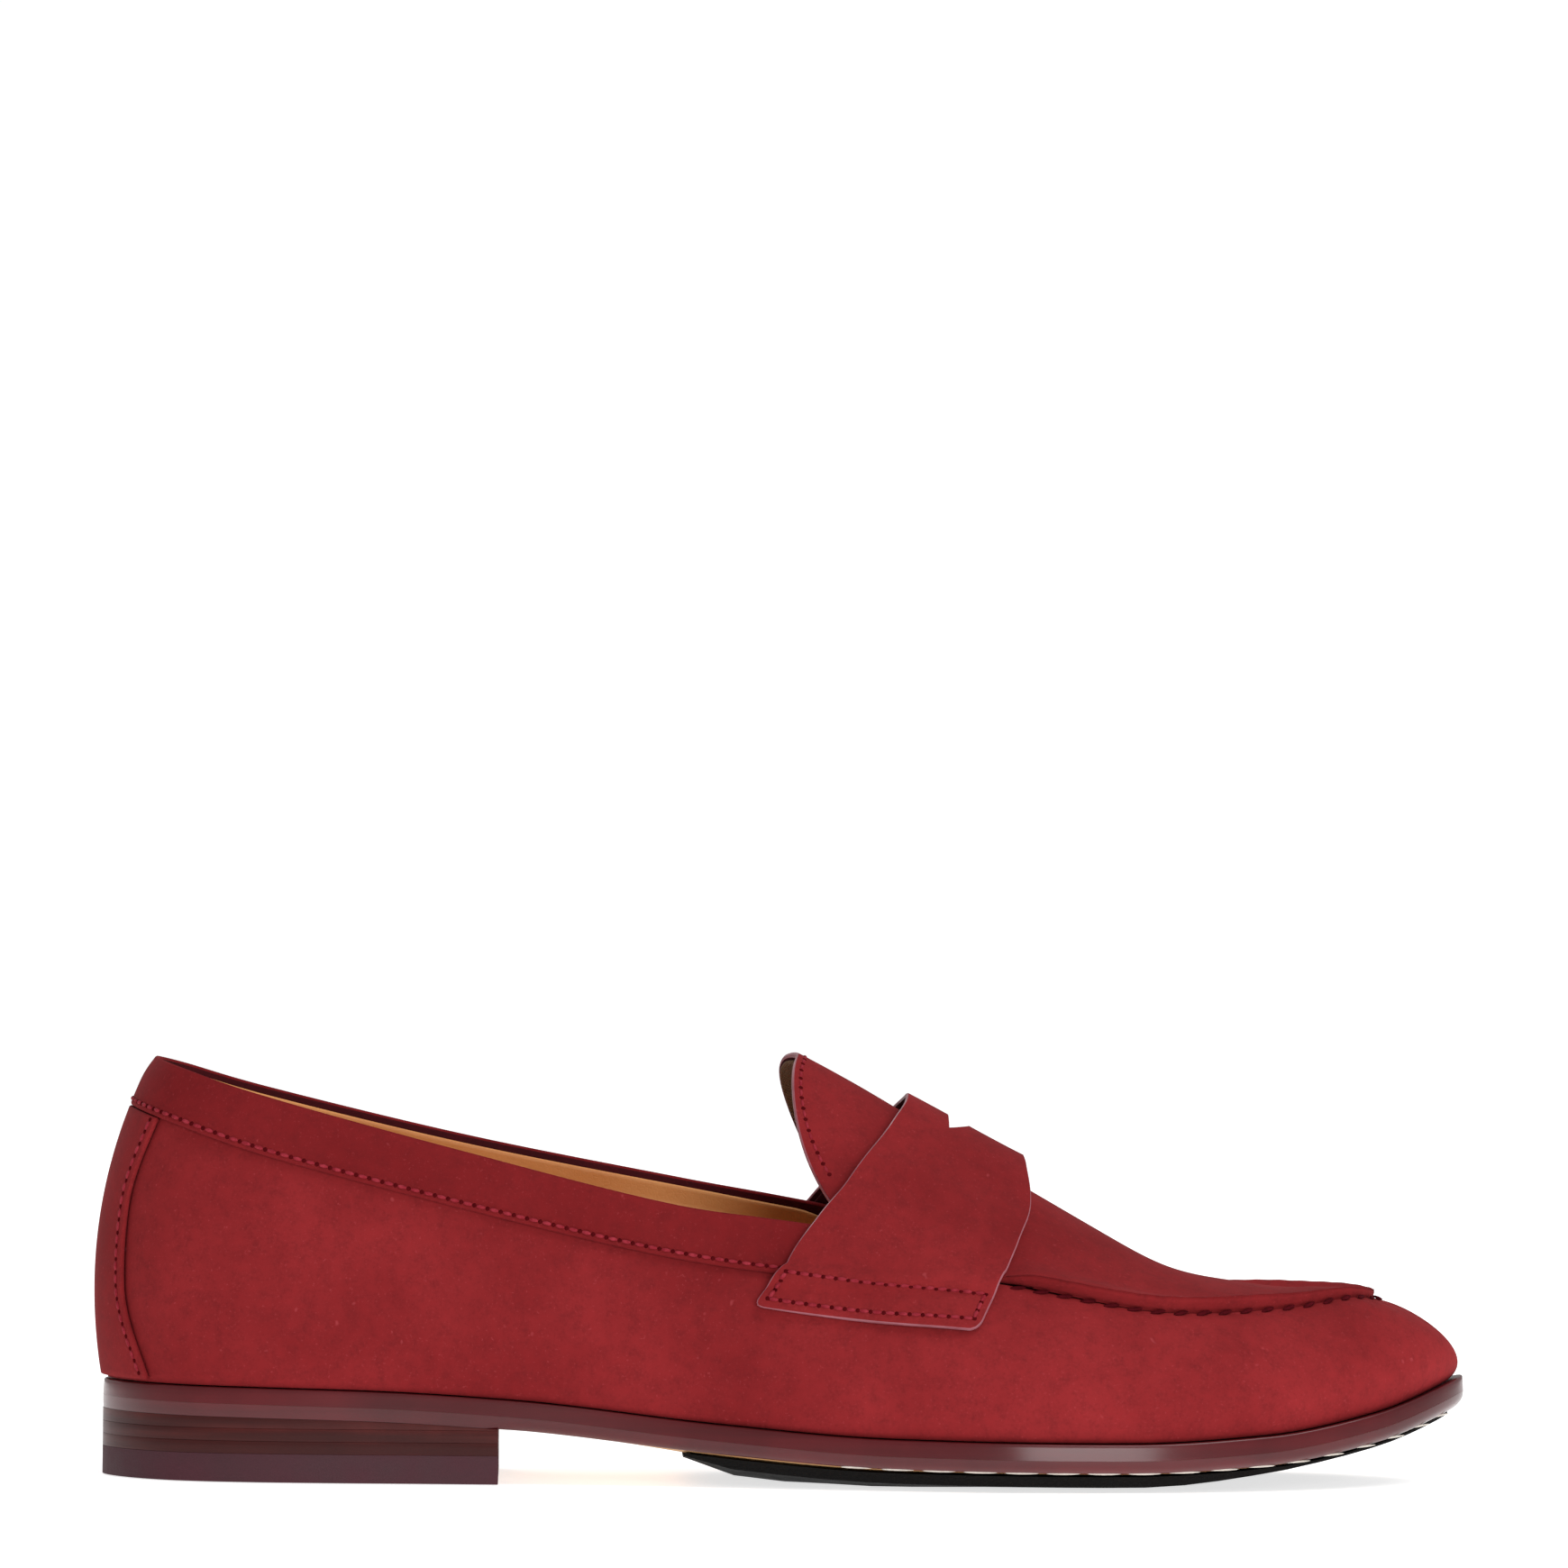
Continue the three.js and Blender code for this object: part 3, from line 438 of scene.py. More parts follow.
def block(name: str, outline: Array, bottom: Callable[[Array], Array], top: Callable[[Array], Array],
          bevel: float) -> bpy.types.Object:
    """Solid block on an outline, pulled up from a filled circle and bevelled along both edges.

    Args:
        name: the object's name.
        outline: corner points x, y in mm, in order.
        bottom: height of the underside at x.
        top: height of the upper side at x.
        bevel: width of the bevel in mm.

    Returns:
        The block.
    """
    deselect()
    bpy.ops.mesh.primitive_circle_add(vertices=len(outline), radius=0.04, fill_type="NGON")
    made = bpy.context.object
    made.name = made.data.name = name
    for vertex, (x, y) in zip(made.data.vertices, outline):
        vertex.co = (x * MM, y * MM, float(bottom(x)) * MM)
    bpy.ops.object.mode_set(mode="EDIT")
    bpy.ops.mesh.select_all(action="SELECT")
    bpy.ops.mesh.extrude_region_move(TRANSFORM_OT_translate={"value": (0, 0, 0.002)})
    bpy.ops.object.mode_set(mode="OBJECT")
    for vertex in made.data.vertices:
        if vertex.select:
            vertex.co.z = float(top(vertex.co.x / MM)) * MM
    for line in made.data.edges:
        a, b = (made.data.vertices[i].select for i in line.vertices)
        line.select = a == b
    bpy.ops.object.mode_set(mode="EDIT")
    bpy.ops.mesh.select_mode(type="EDGE")
    bpy.ops.mesh.bevel(offset=bevel * MM, segments=3, profile=0.6)
    bpy.ops.mesh.select_all(action="SELECT")
    bpy.ops.mesh.normals_make_consistent(inside=False)
    bpy.ops.object.mode_set(mode="OBJECT")
    bpy.ops.object.shade_smooth_by_angle(angle=math.radians(35))
    made.location = (0, 0, 0)
    return made


# ---------------------------------------------------------------- finishes
def linear(code: str) -> tuple[float, float, float, float]:
    """Scene colour of a six-digit display colour."""
    parts = [int(code[i:i + 2], 16) / 255 for i in (0, 2, 4)]
    low, high = (lambda v: v / 12.92), (lambda v: ((v + 0.055) / 1.055) ** 2.4)
    return (*(low(v) if v <= 0.04045 else high(v) for v in parts), 1.0)


class Bench:
    """A node tree being wired."""

    def __init__(self, tree: bpy.types.NodeTree) -> None:
        """Takes the tree to wire."""
        self.tree = tree

    def add(self, kind: str, inputs: Optional[dict] = None, **settings: object) -> bpy.types.Node:
        """Adds a node.

        Args:
            kind: the node's type name, without its ShaderNode part.
            inputs: socket values, or sockets to link from, by socket name or number.
            settings: the node's own properties.

        Returns:
            The node.
        """
        node = self.tree.nodes.new("ShaderNode" + kind)
        for key, value in settings.items():
            setattr(node, key, value)
        for key, value in (inputs or {}).items():
            if isinstance(value, bpy.types.NodeSocket):
                self.tree.links.new(value, node.inputs[key])
            else:
                node.inputs[key].default_value = value
        return node

    def math(self, operation: str, *values: object) -> bpy.types.NodeSocket:
        """Adds a Math node and gives its output."""
        return self.add("Math", dict(enumerate(values)), operation=operation).outputs[0]

    def blend(self, share: object, first: object, second: object) -> bpy.types.NodeSocket:
        """Adds a colour Mix node and gives its output."""
        return self.add("Mix", {0: share, 6: first, 7: second}, data_type="RGBA").outputs[2]

    def give(self, end: bpy.types.Node, **outputs: bpy.types.NodeSocket) -> bpy.types.NodeTree:
        """Links a group's outputs, by name, and gives its tree."""
        for label, socket in outputs.items():
            self.tree.links.new(socket, end.inputs[label])
        return self.tree


def start_group(name: str, takes: dict, gives: dict) -> tuple[Bench, bpy.types.Node, bpy.types.Node]:
    """Makes an empty shader node group.

    Args:
        name: the group's name.
        takes: socket type of each input, by name.
        gives: socket type of each output, by name.

    Returns:
        The bench of the group, its input node and its output node.
    """
    tree = bpy.data.node_groups.new(name, "ShaderNodeTree")
    for sockets, way in ((takes, "INPUT"), (gives, "OUTPUT")):
        for label, kind in sockets.items():
            tree.interface.new_socket(name=label, in_out=way, socket_type="NodeSocket" + kind)
    return Bench(tree), tree.nodes.new("NodeGroupInput"), tree.nodes.new("NodeGroupOutput")


def make_patches() -> bpy.types.NodeTree:
    """Soft-edged patches of two colours, for dye that took unevenly."""
    takes = {"Vector": "Vector", "Scale": "Float", "Softness": "Float", "Low": "Color", "High": "Color"}
    bench, start, end = start_group("patches", takes, {"Color": "Color", "Share": "Float"})
    noise = bench.add("TexNoise", {"Vector": start.outputs["Vector"], "Scale": start.outputs["Scale"],
                                   "Detail": 5.0, "Roughness": 0.55})
    low = bench.math("SUBTRACT", 0.5, start.outputs["Softness"])
    high = bench.math("ADD", 0.5, start.outputs["Softness"])
    share = bench.add("MapRange", {"Value": noise.outputs[0], "From Min": low, "From Max": high})
    colour = bench.blend(share.outputs[0], start.outputs["Low"], start.outputs["High"])
    return bench.give(end, Color=colour, Share=share.outputs[0])


def make_nap() -> bpy.types.NodeTree:
    """Fine buffed nap: short fibres lying in small drifts."""
    bench, start, end = start_group(
        "nap", {"Vector": "Vector", "Fibre Scale": "Float", "Drift Scale": "Float"},
        {"Height": "Float", "Speck": "Float", "Drift": "Float"})
    drift = bench.add("TexNoise", {"Vector": start.outputs["Vector"], "Scale": start.outputs["Drift Scale"],
                                   "Detail": 4.0, "Roughness": 0.62})
    fibre = bench.add("TexNoise", {"Vector": start.outputs["Vector"], "Scale": start.outputs["Fibre Scale"],
                                   "Detail": 3.0, "Roughness": 0.7})
    speck = bench.add("MapRange", {"Value": fibre.outputs[0], "From Min": 0.62, "From Max": 0.74})
    fibres = bench.math("MULTIPLY", fibre.outputs[0], 0.6)
    drifts = bench.math("MULTIPLY", drift.outputs[0], 0.4)
    height = bench.math("ADD", fibres, drifts)
    return bench.give(end, Height=height, Speck=speck.outputs[0], Drift=drift.outputs[0])


def make_pores() -> bpy.types.NodeTree:
    """Grain of smooth leather or cast rubber: small rounded cells, some deeper than others."""
    bench, start, end = start_group("pores", {"Vector": "Vector", "Scale": "Float"},
                                    {"Height": "Float", "Cell": "Float"})
    wander = bench.add("TexNoise", {"Vector": start.outputs["Vector"], "Scale": start.outputs["Scale"]})
    bent = bench.add("VectorMath", {0: wander.outputs["Color"], 3: 0.0006}, operation="SCALE").outputs[0]
    place = bench.add("VectorMath", {0: start.outputs["Vector"], 1: bent}, operation="ADD").outputs[0]
    cells = bench.add("TexVoronoi", {"Vector": place, "Scale": start.outputs["Scale"]},
                      feature="DISTANCE_TO_EDGE")
    fill = bench.add("MapRange", {"Value": cells.outputs[0], "From Max": 0.16})
    shade = bench.add("TexVoronoi", {"Vector": place, "Scale": start.outputs["Scale"]})
    tone = bench.add("SeparateColor", {0: shade.outputs["Color"]}).outputs[0]
    return bench.give(end, Height=fill.outputs[0], Cell=tone)


def make_layers() -> bpy.types.NodeTree:
    """Fine level lines, as on a burnished leather edge."""
    takes = {"Vector": "Vector", "Line Scale": "Float", "Streak": "Float"}
    bench, start, end = start_group("layers", takes, {"Lines": "Float", "Streaks": "Float"})
    stretch = bench.add("CombineXYZ", {0: start.outputs["Streak"], 1: start.outputs["Streak"],
                                       2: start.outputs["Line Scale"]})
    place = bench.add("VectorMath", {0: start.outputs["Vector"], 1: stretch.outputs[0]},
                      operation="MULTIPLY")
    lines = bench.add("TexNoise", {"Vector": place.outputs[0], "Scale": 1.0, "Detail": 4.0,
                                   "Roughness": 0.6})
    wide = bench.add("VectorMath", {0: place.outputs[0], 1: (0.7, 0.7, 0.22)}, operation="MULTIPLY")
    streaks = bench.add("TexNoise", {"Vector": wide.outputs[0], "Scale": 1.0, "Detail": 2.0})
    return bench.give(end, Lines=lines.outputs[0], Streaks=streaks.outputs[0])


class Groups:
    """The shared node groups, each built once."""

    made: dict[str, bpy.types.NodeTree] = {}
    makers = {"patches": make_patches, "nap": make_nap, "pores": make_pores, "layers": make_layers}

    @classmethod
    def place(cls, bench: Bench, name: str, inputs: dict) -> bpy.types.Node:
        """Adds a shared group to a material's tree."""
        if name not in cls.made:
            cls.made[name] = cls.makers[name]()
        return bench.add("Group", inputs, node_tree=cls.made[name])


@dataclass(frozen=True)
class Finish:
    """A finish that all others build on: two colours in patches, and a plain shader."""

    name: str
    low: str
    high: str
    roughness: float = 0.6
    patch: float = 60.0
    softness: float = 0.16
    grain: float = 2500.0
    bump: float = 0.2
    depth: float = 0.15
    metal: float = 0.0
    sheen: float = 0.0
    coat: float = 0.0
    specular: float = 0.5

    def start(self) -> tuple[Bench, bpy.types.Node, bpy.types.NodeSocket]:
        """Makes the material and its shader.

        Returns:
            The bench, the shader node and the Object coordinates.
        """
        material = bpy.data.materials.new(self.name)
        material.use_nodes = True
        bench = Bench(material.node_tree)
        shader = material.node_tree.nodes["Principled BSDF"]
        for label, value in (("Roughness", self.roughness), ("Metallic", self.metal),
                             ("Specular IOR Level", self.specular), ("Sheen Weight", self.sheen),
                             ("Coat Weight", self.coat)):
            shader.inputs[label].default_value = value
        return bench, shader, bench.add("TexCoord").outputs["Object"]

    def dyed(self, bench: Bench, place: bpy.types.NodeSocket) -> bpy.types.Node:
        """Adds the patches of the two colours."""
        return Groups.place(bench, "patches", {
            "Vector": place, "Scale": self.patch, "Softness": self.softness,
            "Low": linear(self.low), "High": linear(self.high)})

    def close(self, bench: Bench, shader: bpy.types.Node, colour: bpy.types.NodeSocket,
              height: bpy.types.NodeSocket,
              rough: Optional[bpy.types.NodeSocket] = None) -> bpy.types.Material:
        """Feeds the colour, the bump and the roughness to the shader and gives the material."""
        bump = bench.add("Bump", {"Strength": self.bump, "Distance": self.depth * MM, "Height": height})
        bench.tree.links.new(colour, shader.inputs["Base Color"])
        bench.tree.links.new(bump.outputs[0], shader.inputs["Normal"])
        if rough is not None:
            spread = bench.add("MapRange", {"Value": rough, "To Min": max(self.roughness - 0.1, 0.05),
                                            "To Max": min(self.roughness + 0.1, 1.0)})
            bench.tree.links.new(spread.outputs[0], shader.inputs["Roughness"])
        return next(m for m in bpy.data.materials if m.node_tree == bench.tree)

    def make(self) -> bpy.types.Material:
        """Plain matt stuff with a fine grain."""
        bench, shader, place = self.start()
        patches = self.dyed(bench, place)
        pores = Groups.place(bench, "pores", {"Vector": place, "Scale": self.grain})
        share = bench.math("MULTIPLY", pores.outputs["Cell"], 0.25)
        toned = bench.blend(share, patches.outputs["Color"], linear(self.low))
        return self.close(bench, shader, toned, pores.outputs["Height"], patches.outputs["Share"])


@dataclass(frozen=True)
class Nubuck(Finish):
    """Buffed calf: a short nap, drifts in the dye, pale specks, painted shade in the nap's low places, and a
    velvet sheen.
    """

    light: str = "BC5258"
    # Colour of the painted shade in the nap's low places.
    dark: str = "5E1519"
    fibre: float = 1500.0
    drift: float = 320.0

    def make(self) -> bpy.types.Material:
        """Builds the nubuck."""
        bench, shader, place = self.start()
        shader.inputs["Sheen Tint"].default_value = linear(self.light)
        shader.inputs["Sheen Roughness"].default_value = 0.45
        patches = self.dyed(bench, place)
        nap = Groups.place(bench, "nap", {
            "Vector": place, "Fibre Scale": self.fibre, "Drift Scale": self.drift})
        drifted = bench.add("MapRange", {"Value": nap.outputs["Drift"], "From Min": 0.3, "From Max": 0.7,
                                         "To Min": 0.93, "To Max": 1.07})
        toned = bench.add("VectorMath", {0: patches.outputs["Color"], 3: drifted.outputs[0]},
                          operation="SCALE")
        # Painted shade: where the nap is low, the colour is pulled toward the dark colour.
        shade = bench.add("MapRange", {"Value": nap.outputs["Height"], "From Min": 0.5, "From Max": 0.34})
        shaded = bench.math("MULTIPLY", shade.outputs[0], 0.35)
        darker = bench.blend(shaded, toned.outputs[0], linear(self.dark))
        speck = bench.math("MULTIPLY", nap.outputs["Speck"], 0.24)
        colour = bench.blend(speck, darker, linear(self.light))
        scuff = bench.add("TexNoise", {"Vector": place, "Scale": 420.0, "Detail": 1.0})
        rare = bench.add("MapRange", {"Value": scuff.outputs[0], "From Min": 0.76, "From Max": 0.82})
        colour = bench.blend(bench.math("MULTIPLY", rare.outputs[0], 0.25), colour, linear(self.light))
        return self.close(bench, shader, colour, nap.outputs["Height"], nap.outputs["Drift"])


@dataclass(frozen=True)
class Burnished(Finish):
    """Leather edge rubbed with coloured wax: level lines, darker streaks and a low shine."""

    line: float = 1400.0
    streak: float = 45.0
    contrast: float = 0.5

    def make(self) -> bpy.types.Material:
        """Builds the burnished edge."""
        bench, shader, place = self.start()
        shader.inputs["Coat Roughness"].default_value = 0.16
        layers = Groups.place(bench, "layers", {
            "Vector": place, "Line Scale": self.line, "Streak": self.streak})
        patches = self.dyed(bench, place)
        spread = bench.add("MapRange", {"Value": layers.outputs["Streaks"], "From Min": 0.4,
                                        "From Max": 0.62, "To Max": self.contrast})
        dark = tuple(v * 0.55 for v in linear(self.low)[:3]) + (1.0,)
        colour = bench.blend(spread.outputs[0], patches.outputs["Color"], dark)
        return self.close(bench, shader, colour, layers.outputs["Lines"], layers.outputs["Streaks"])


@dataclass(frozen=True)
class Cloth(Finish):
    """Open plain weave on the piece's own lengthwise and crosswise lengths."""

    pitch: float = 0.9

    def make(self) -> bpy.types.Material:
        """Builds the cloth."""
        bench, shader, _ = self.start()
        place = bench.add("UVMap", uv_map="lengths").outputs[0]
        split = bench.add("SeparateXYZ", {0: place})
        waves = []
        for axis in (0, 1):
            turn = bench.math("MULTIPLY", split.outputs[axis], 2 * math.pi / (self.pitch * MM))
            waves.append(bench.math("ABSOLUTE", bench.math("SINE", turn)))
        yarn = bench.math("MAXIMUM", waves[0], waves[1])
        hole = bench.add("MapRange", {"Value": yarn, "From Min": 0.35, "From Max": 0.75})
        colour = bench.blend(hole.outputs[0], linear(self.low), linear(self.high))
        return self.close(bench, shader, colour, yarn)


NUBUCK = ("nubuck_red", "nubuck_back", "nubuck_red")
TAN = ("lining_leather", "lining_leather", "lining_leather")
# Thread, and the dark painted shade that stands for the needle holes.
STITCHES = ("stitch_thread", "stitch_hole")


class Kit:
    """All the finishes, made once and handed out by name."""

    finishes = (
        Nubuck("nubuck_red", "6F171A", "8E2629", roughness=0.9, patch=22.0, softness=0.22, bump=0.35,
               depth=0.12, sheen=0.06, specular=0.12),
        # Darker copy of the red nubuck for the collar: painted shade, the same hide as the wall.
        Nubuck("nubuck_collar", "6A1518", "7C1E21", roughness=0.9, patch=26.0, softness=0.22, bump=0.35,
               depth=0.12, sheen=0.06, specular=0.1),
        Nubuck("nubuck_back", "3E0C14", "4A1018", roughness=0.9, patch=60.0, bump=0.4, depth=0.15,
               sheen=0.05, specular=0.2, light="7A3036", dark="300A0E"),
        Burnished("cut_edge", "8E4C55", "A0606A", roughness=0.5, patch=160.0, bump=0.25, depth=0.08,
                  line=2600.0, streak=160.0, contrast=0.25),
        Burnished("painted_edge", "4A0B11", "5C1319", roughness=0.4, patch=40.0, bump=0.12, depth=0.1,
                  coat=0.6, specular=0.15, line=1300.0, streak=14.0, contrast=0.35),
        Burnished("stacked_leather", "401311", "521C19", roughness=0.45, patch=70.0, bump=0.25, depth=0.12,
                  coat=0.15, specular=0.12, line=1900.0, streak=20.0, contrast=0.7),
        Finish("heel_rubber", "3E1C24", "48222B", roughness=0.65, specular=0.3, patch=90.0,
               grain=1500.0, bump=0.15),
        Finish("tread_rubber", "0A0909", "121111", roughness=0.75, specular=0.12, patch=120.0,
               grain=900.0, bump=0.4, depth=0.25),
        Finish("lining_leather", "CC8244", "DA9656", roughness=0.5, patch=35.0, grain=1100.0,
               bump=0.22, depth=0.1, specular=0.4),
        Finish("sole_leather", "B98A58", "C69A68", roughness=0.6, patch=50.0, grain=1500.0, bump=0.15),
        Cloth("tongue_cloth", "2E1C10", "6E4C2E", roughness=0.9, bump=0.8, depth=0.25),
        Finish("stitch_thread", "861C28", "A23440", roughness=0.7, patch=900.0, grain=5200.0,
               bump=0.4, specular=0.1),
        Finish("seam_cord", "44080F", "560E17", roughness=0.8, specular=0.04, patch=700.0,
               grain=4200.0, bump=0.5),
        # Painted shade: dark marks for the shadow inside the needle holes.
        Finish("stitch_hole", "460A0E", "540F13", roughness=0.95, specular=0.0, patch=700.0, grain=4200.0),
        Finish("sole_thread", "C8BEB4", "DCD4CA", roughness=0.6, patch=700.0, grain=4200.0, bump=0.4),
        Finish("fibreboard", "A98F6C", "B9A284", roughness=0.85, patch=200.0, grain=900.0, bump=0.3),
        Finish("heel_foam", "CFC5B4", "DDD4C6", roughness=0.95, patch=150.0, grain=1400.0, bump=0.5),
        Finish("cork", "8F6238", "B07F50", roughness=0.9, patch=600.0, softness=0.08, grain=700.0,
               bump=0.5),
        Burnished("shank_steel", "A8AAAD", "BEC0C3", roughness=0.35, patch=80.0, metal=1.0,
                  line=900.0, streak=30.0, contrast=0.1),
    )

    def __init__(self) -> None:
        """Makes every material."""
        self.materials = {finish.name: finish.make() for finish in self.finishes}

    def dress(self, piece: bpy.types.Object, *names: str) -> None:
        """Gives a piece its materials, in the order of its material indices."""
        for place, name in enumerate(names):
            if place < len(piece.data.materials):
                piece.data.materials[place] = self.materials[name]
            else:
                piece.data.materials.append(self.materials[name])

    def settle(self, piece: bpy.types.Object, names: Sequence[str], slot: str, *nodes: str,
               body: str = "shoe") -> None:
        """Finishes a piece and puts it on the frame.

        Args:
            piece: the object.
            names: its materials, in the order of its material indices.
            slot: not used.
            nodes: the parts that it stands for.
            body: the body that it rides on.
        """
        self.dress(piece, *names)
        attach(piece, body)
        if nodes:
            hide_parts(*nodes)
        LOG.info("%s: %d faces on %s", piece.name, len(piece.data.polygons), body)


def give_lengths(piece: bpy.types.Object) -> None:
    """Gives a sheet a UV map of real lengths: across the shoe, and along its slope."""
    layer = piece.data.uv_layers.new(name="lengths")
    for loop in piece.data.loops:
        x, y, z = piece.data.vertices[loop.vertex_index].co
        layer.data[loop.index].uv = (0.8 * x - 0.6 * z, y)


# ---------------------------------------------------------------- stitches
@dataclass(frozen=True)
class Thread:
    """One stitch of a row and, beside it, a dark mark of painted shade for its needle hole, in mm."""

    pitch: float = 2.9
    length: float = 2.0
    width: float = 0.75
    height: float = 0.6
    lift: float = 0.08
    turn: float = 0.0
    # Width of the dark mark of painted shade for each needle hole; 0 leaves the marks out.
    hole: float = 0.95

    def model(self) -> tuple[Array, list]:
        """Models one stitch as a low ball drawn out to a grain of rice.

        Returns:
            Its points, lying along z, and its faces.
        """
        deselect()
        bpy.ops.mesh.primitive_uv_sphere_add(segments=8, ring_count=6, radius=0.5)
        ball = bpy.context.object
        bpy.ops.object.mode_set(mode="EDIT")
        bpy.ops.mesh.select_all(action="SELECT")
        bpy.ops.transform.resize(value=(self.width, self.height, self.length))
        bpy.ops.object.mode_set(mode="OBJECT")
        points = np.array([v.co[:] for v in ball.data.vertices])
        points[:, :2] *= 1 + 0.14 * (1 - np.abs(2 * points[:, 2:] / self.length) ** 4)
        faces = [list(p.vertices) for p in ball.data.polygons]
        bpy.data.objects.remove(ball)
        return points, faces

    def sew(self, name: str, paths: list[tuple[Array, Array]]) -> bpy.types.Object:
        """Sews rows of stitches.

        Args:
            name: the object's name.
            paths: for each row its points and its outward directions, in mm.

        Returns:
            One object with every stitch and hole.
        """
        shape, shape_faces = self.model()
        points, faces, kinds, total = [], [], [], 0
        for path, normals in paths:
            length = np.concatenate([[0], np.cumsum(np.linalg.norm(np.diff(path, axis=0), axis=1))])
            count = max(int(round(length[-1] / self.pitch)), 1)
            step = length[-1] / count
            for kind, shift in (("stitch", 0.5), ("hole", 0.0)):
                if kind == "hole" and self.hole <= 0:
                    continue
                for place in (np.arange(count + (kind == "hole")) + shift) * step:
                    samples = ((place, path), (place + 0.3, path), (place - 0.3, path), (place, normals))
                    centre, ahead, behind, up = (
                        np.array([np.interp(v, length, column) for column in source.T])
                        for v, source in samples)
                    up = unit(up)
                    forward = unit(ahead - behind - up * np.dot(ahead - behind, up))
                    side = np.cross(up, forward)
                    turned = forward * math.cos(self.turn) + side * math.sin(self.turn)
                    across = np.cross(up, turned)
                    if kind == "stitch":
                        size, lift = shape, self.lift
                    else:
                        # A flat dark lump of painted shade where the needle hole would be.
                        size = shape * (self.hole / self.width, 0.5, self.hole / self.length)
                        lift = -0.02
                    made = centre + up * lift
                    made = made + size[:, :1] * across + size[:, 1:2] * up + size[:, 2:] * turned
                    points.append(made)
                    faces += [[i + total for i in face] for face in shape_faces]
                    kinds += [int(kind == "hole")] * len(shape_faces)
                    total += len(made)
        row = new_object(name, np.vstack(points), faces, kinds)
        weld(row, 0.0005)
        return row


# ---------------------------------------------------------------- the upper
def grid(rows: Array, columns: Array) -> tuple[Array, Array]:
    """Two arrays of the same shape from a list for the rows and one for the columns."""
    return np.meshgrid(rows, columns, indexing="ij")


@dataclass
class HandSeam:
    """Hand-sewn seam round the toe. Each stitch pulls the leather in, and it puckers between."""

    start: float = 6.05
    pitch: float = 5.2
    level: float = 0.974
    depth: float = -0.25
    stations: Array = field(init=False)
    lengths: Array = field(init=False)

    def __post_init__(self) -> None:
        """Measures the seam."""
        self.stations = np.linspace(self.start, COUNT - self.start, 900)
        line = LAST.wall(self.stations, np.full(900, 0.955))
        self.lengths = np.concatenate([[0], np.cumsum(np.linalg.norm(np.diff(line, axis=0), axis=1))])

    def pull(self, t: Array) -> Array:
        """How hard the thread pulls at t, from 0 between stitches to 1 under one."""
        count = round(self.lengths[-1] / self.pitch)
        place = np.interp(t, self.stations, self.lengths) / self.lengths[-1]
        return (0.5 - 0.5 * np.cos(2 * np.pi * count * place)) * self.present(t)

    def present(self, t: Array) -> Array:
        """1 where the seam is, 0 behind its ends."""
        return smooth(t, 5.9, 6.3) * (1 - smooth(t, 13.7, 14.1))

    def sew(self, kit: Kit) -> None:
        """Sews the thick slanted stitches in the groove."""
        level = np.full(self.stations.shape, self.level)
        path = LAST.path(LAST.wall, self.stations, level, self.depth)
        cord = Thread(pitch=self.pitch, length=3.9, width=1.05, height=0.55, lift=0.0,
                      turn=math.radians(20), hole=0)
        piece = cord.sew("hand_stitches", [path])
        kit.settle(piece, ("seam_cord",), "thread", "seam_thread")


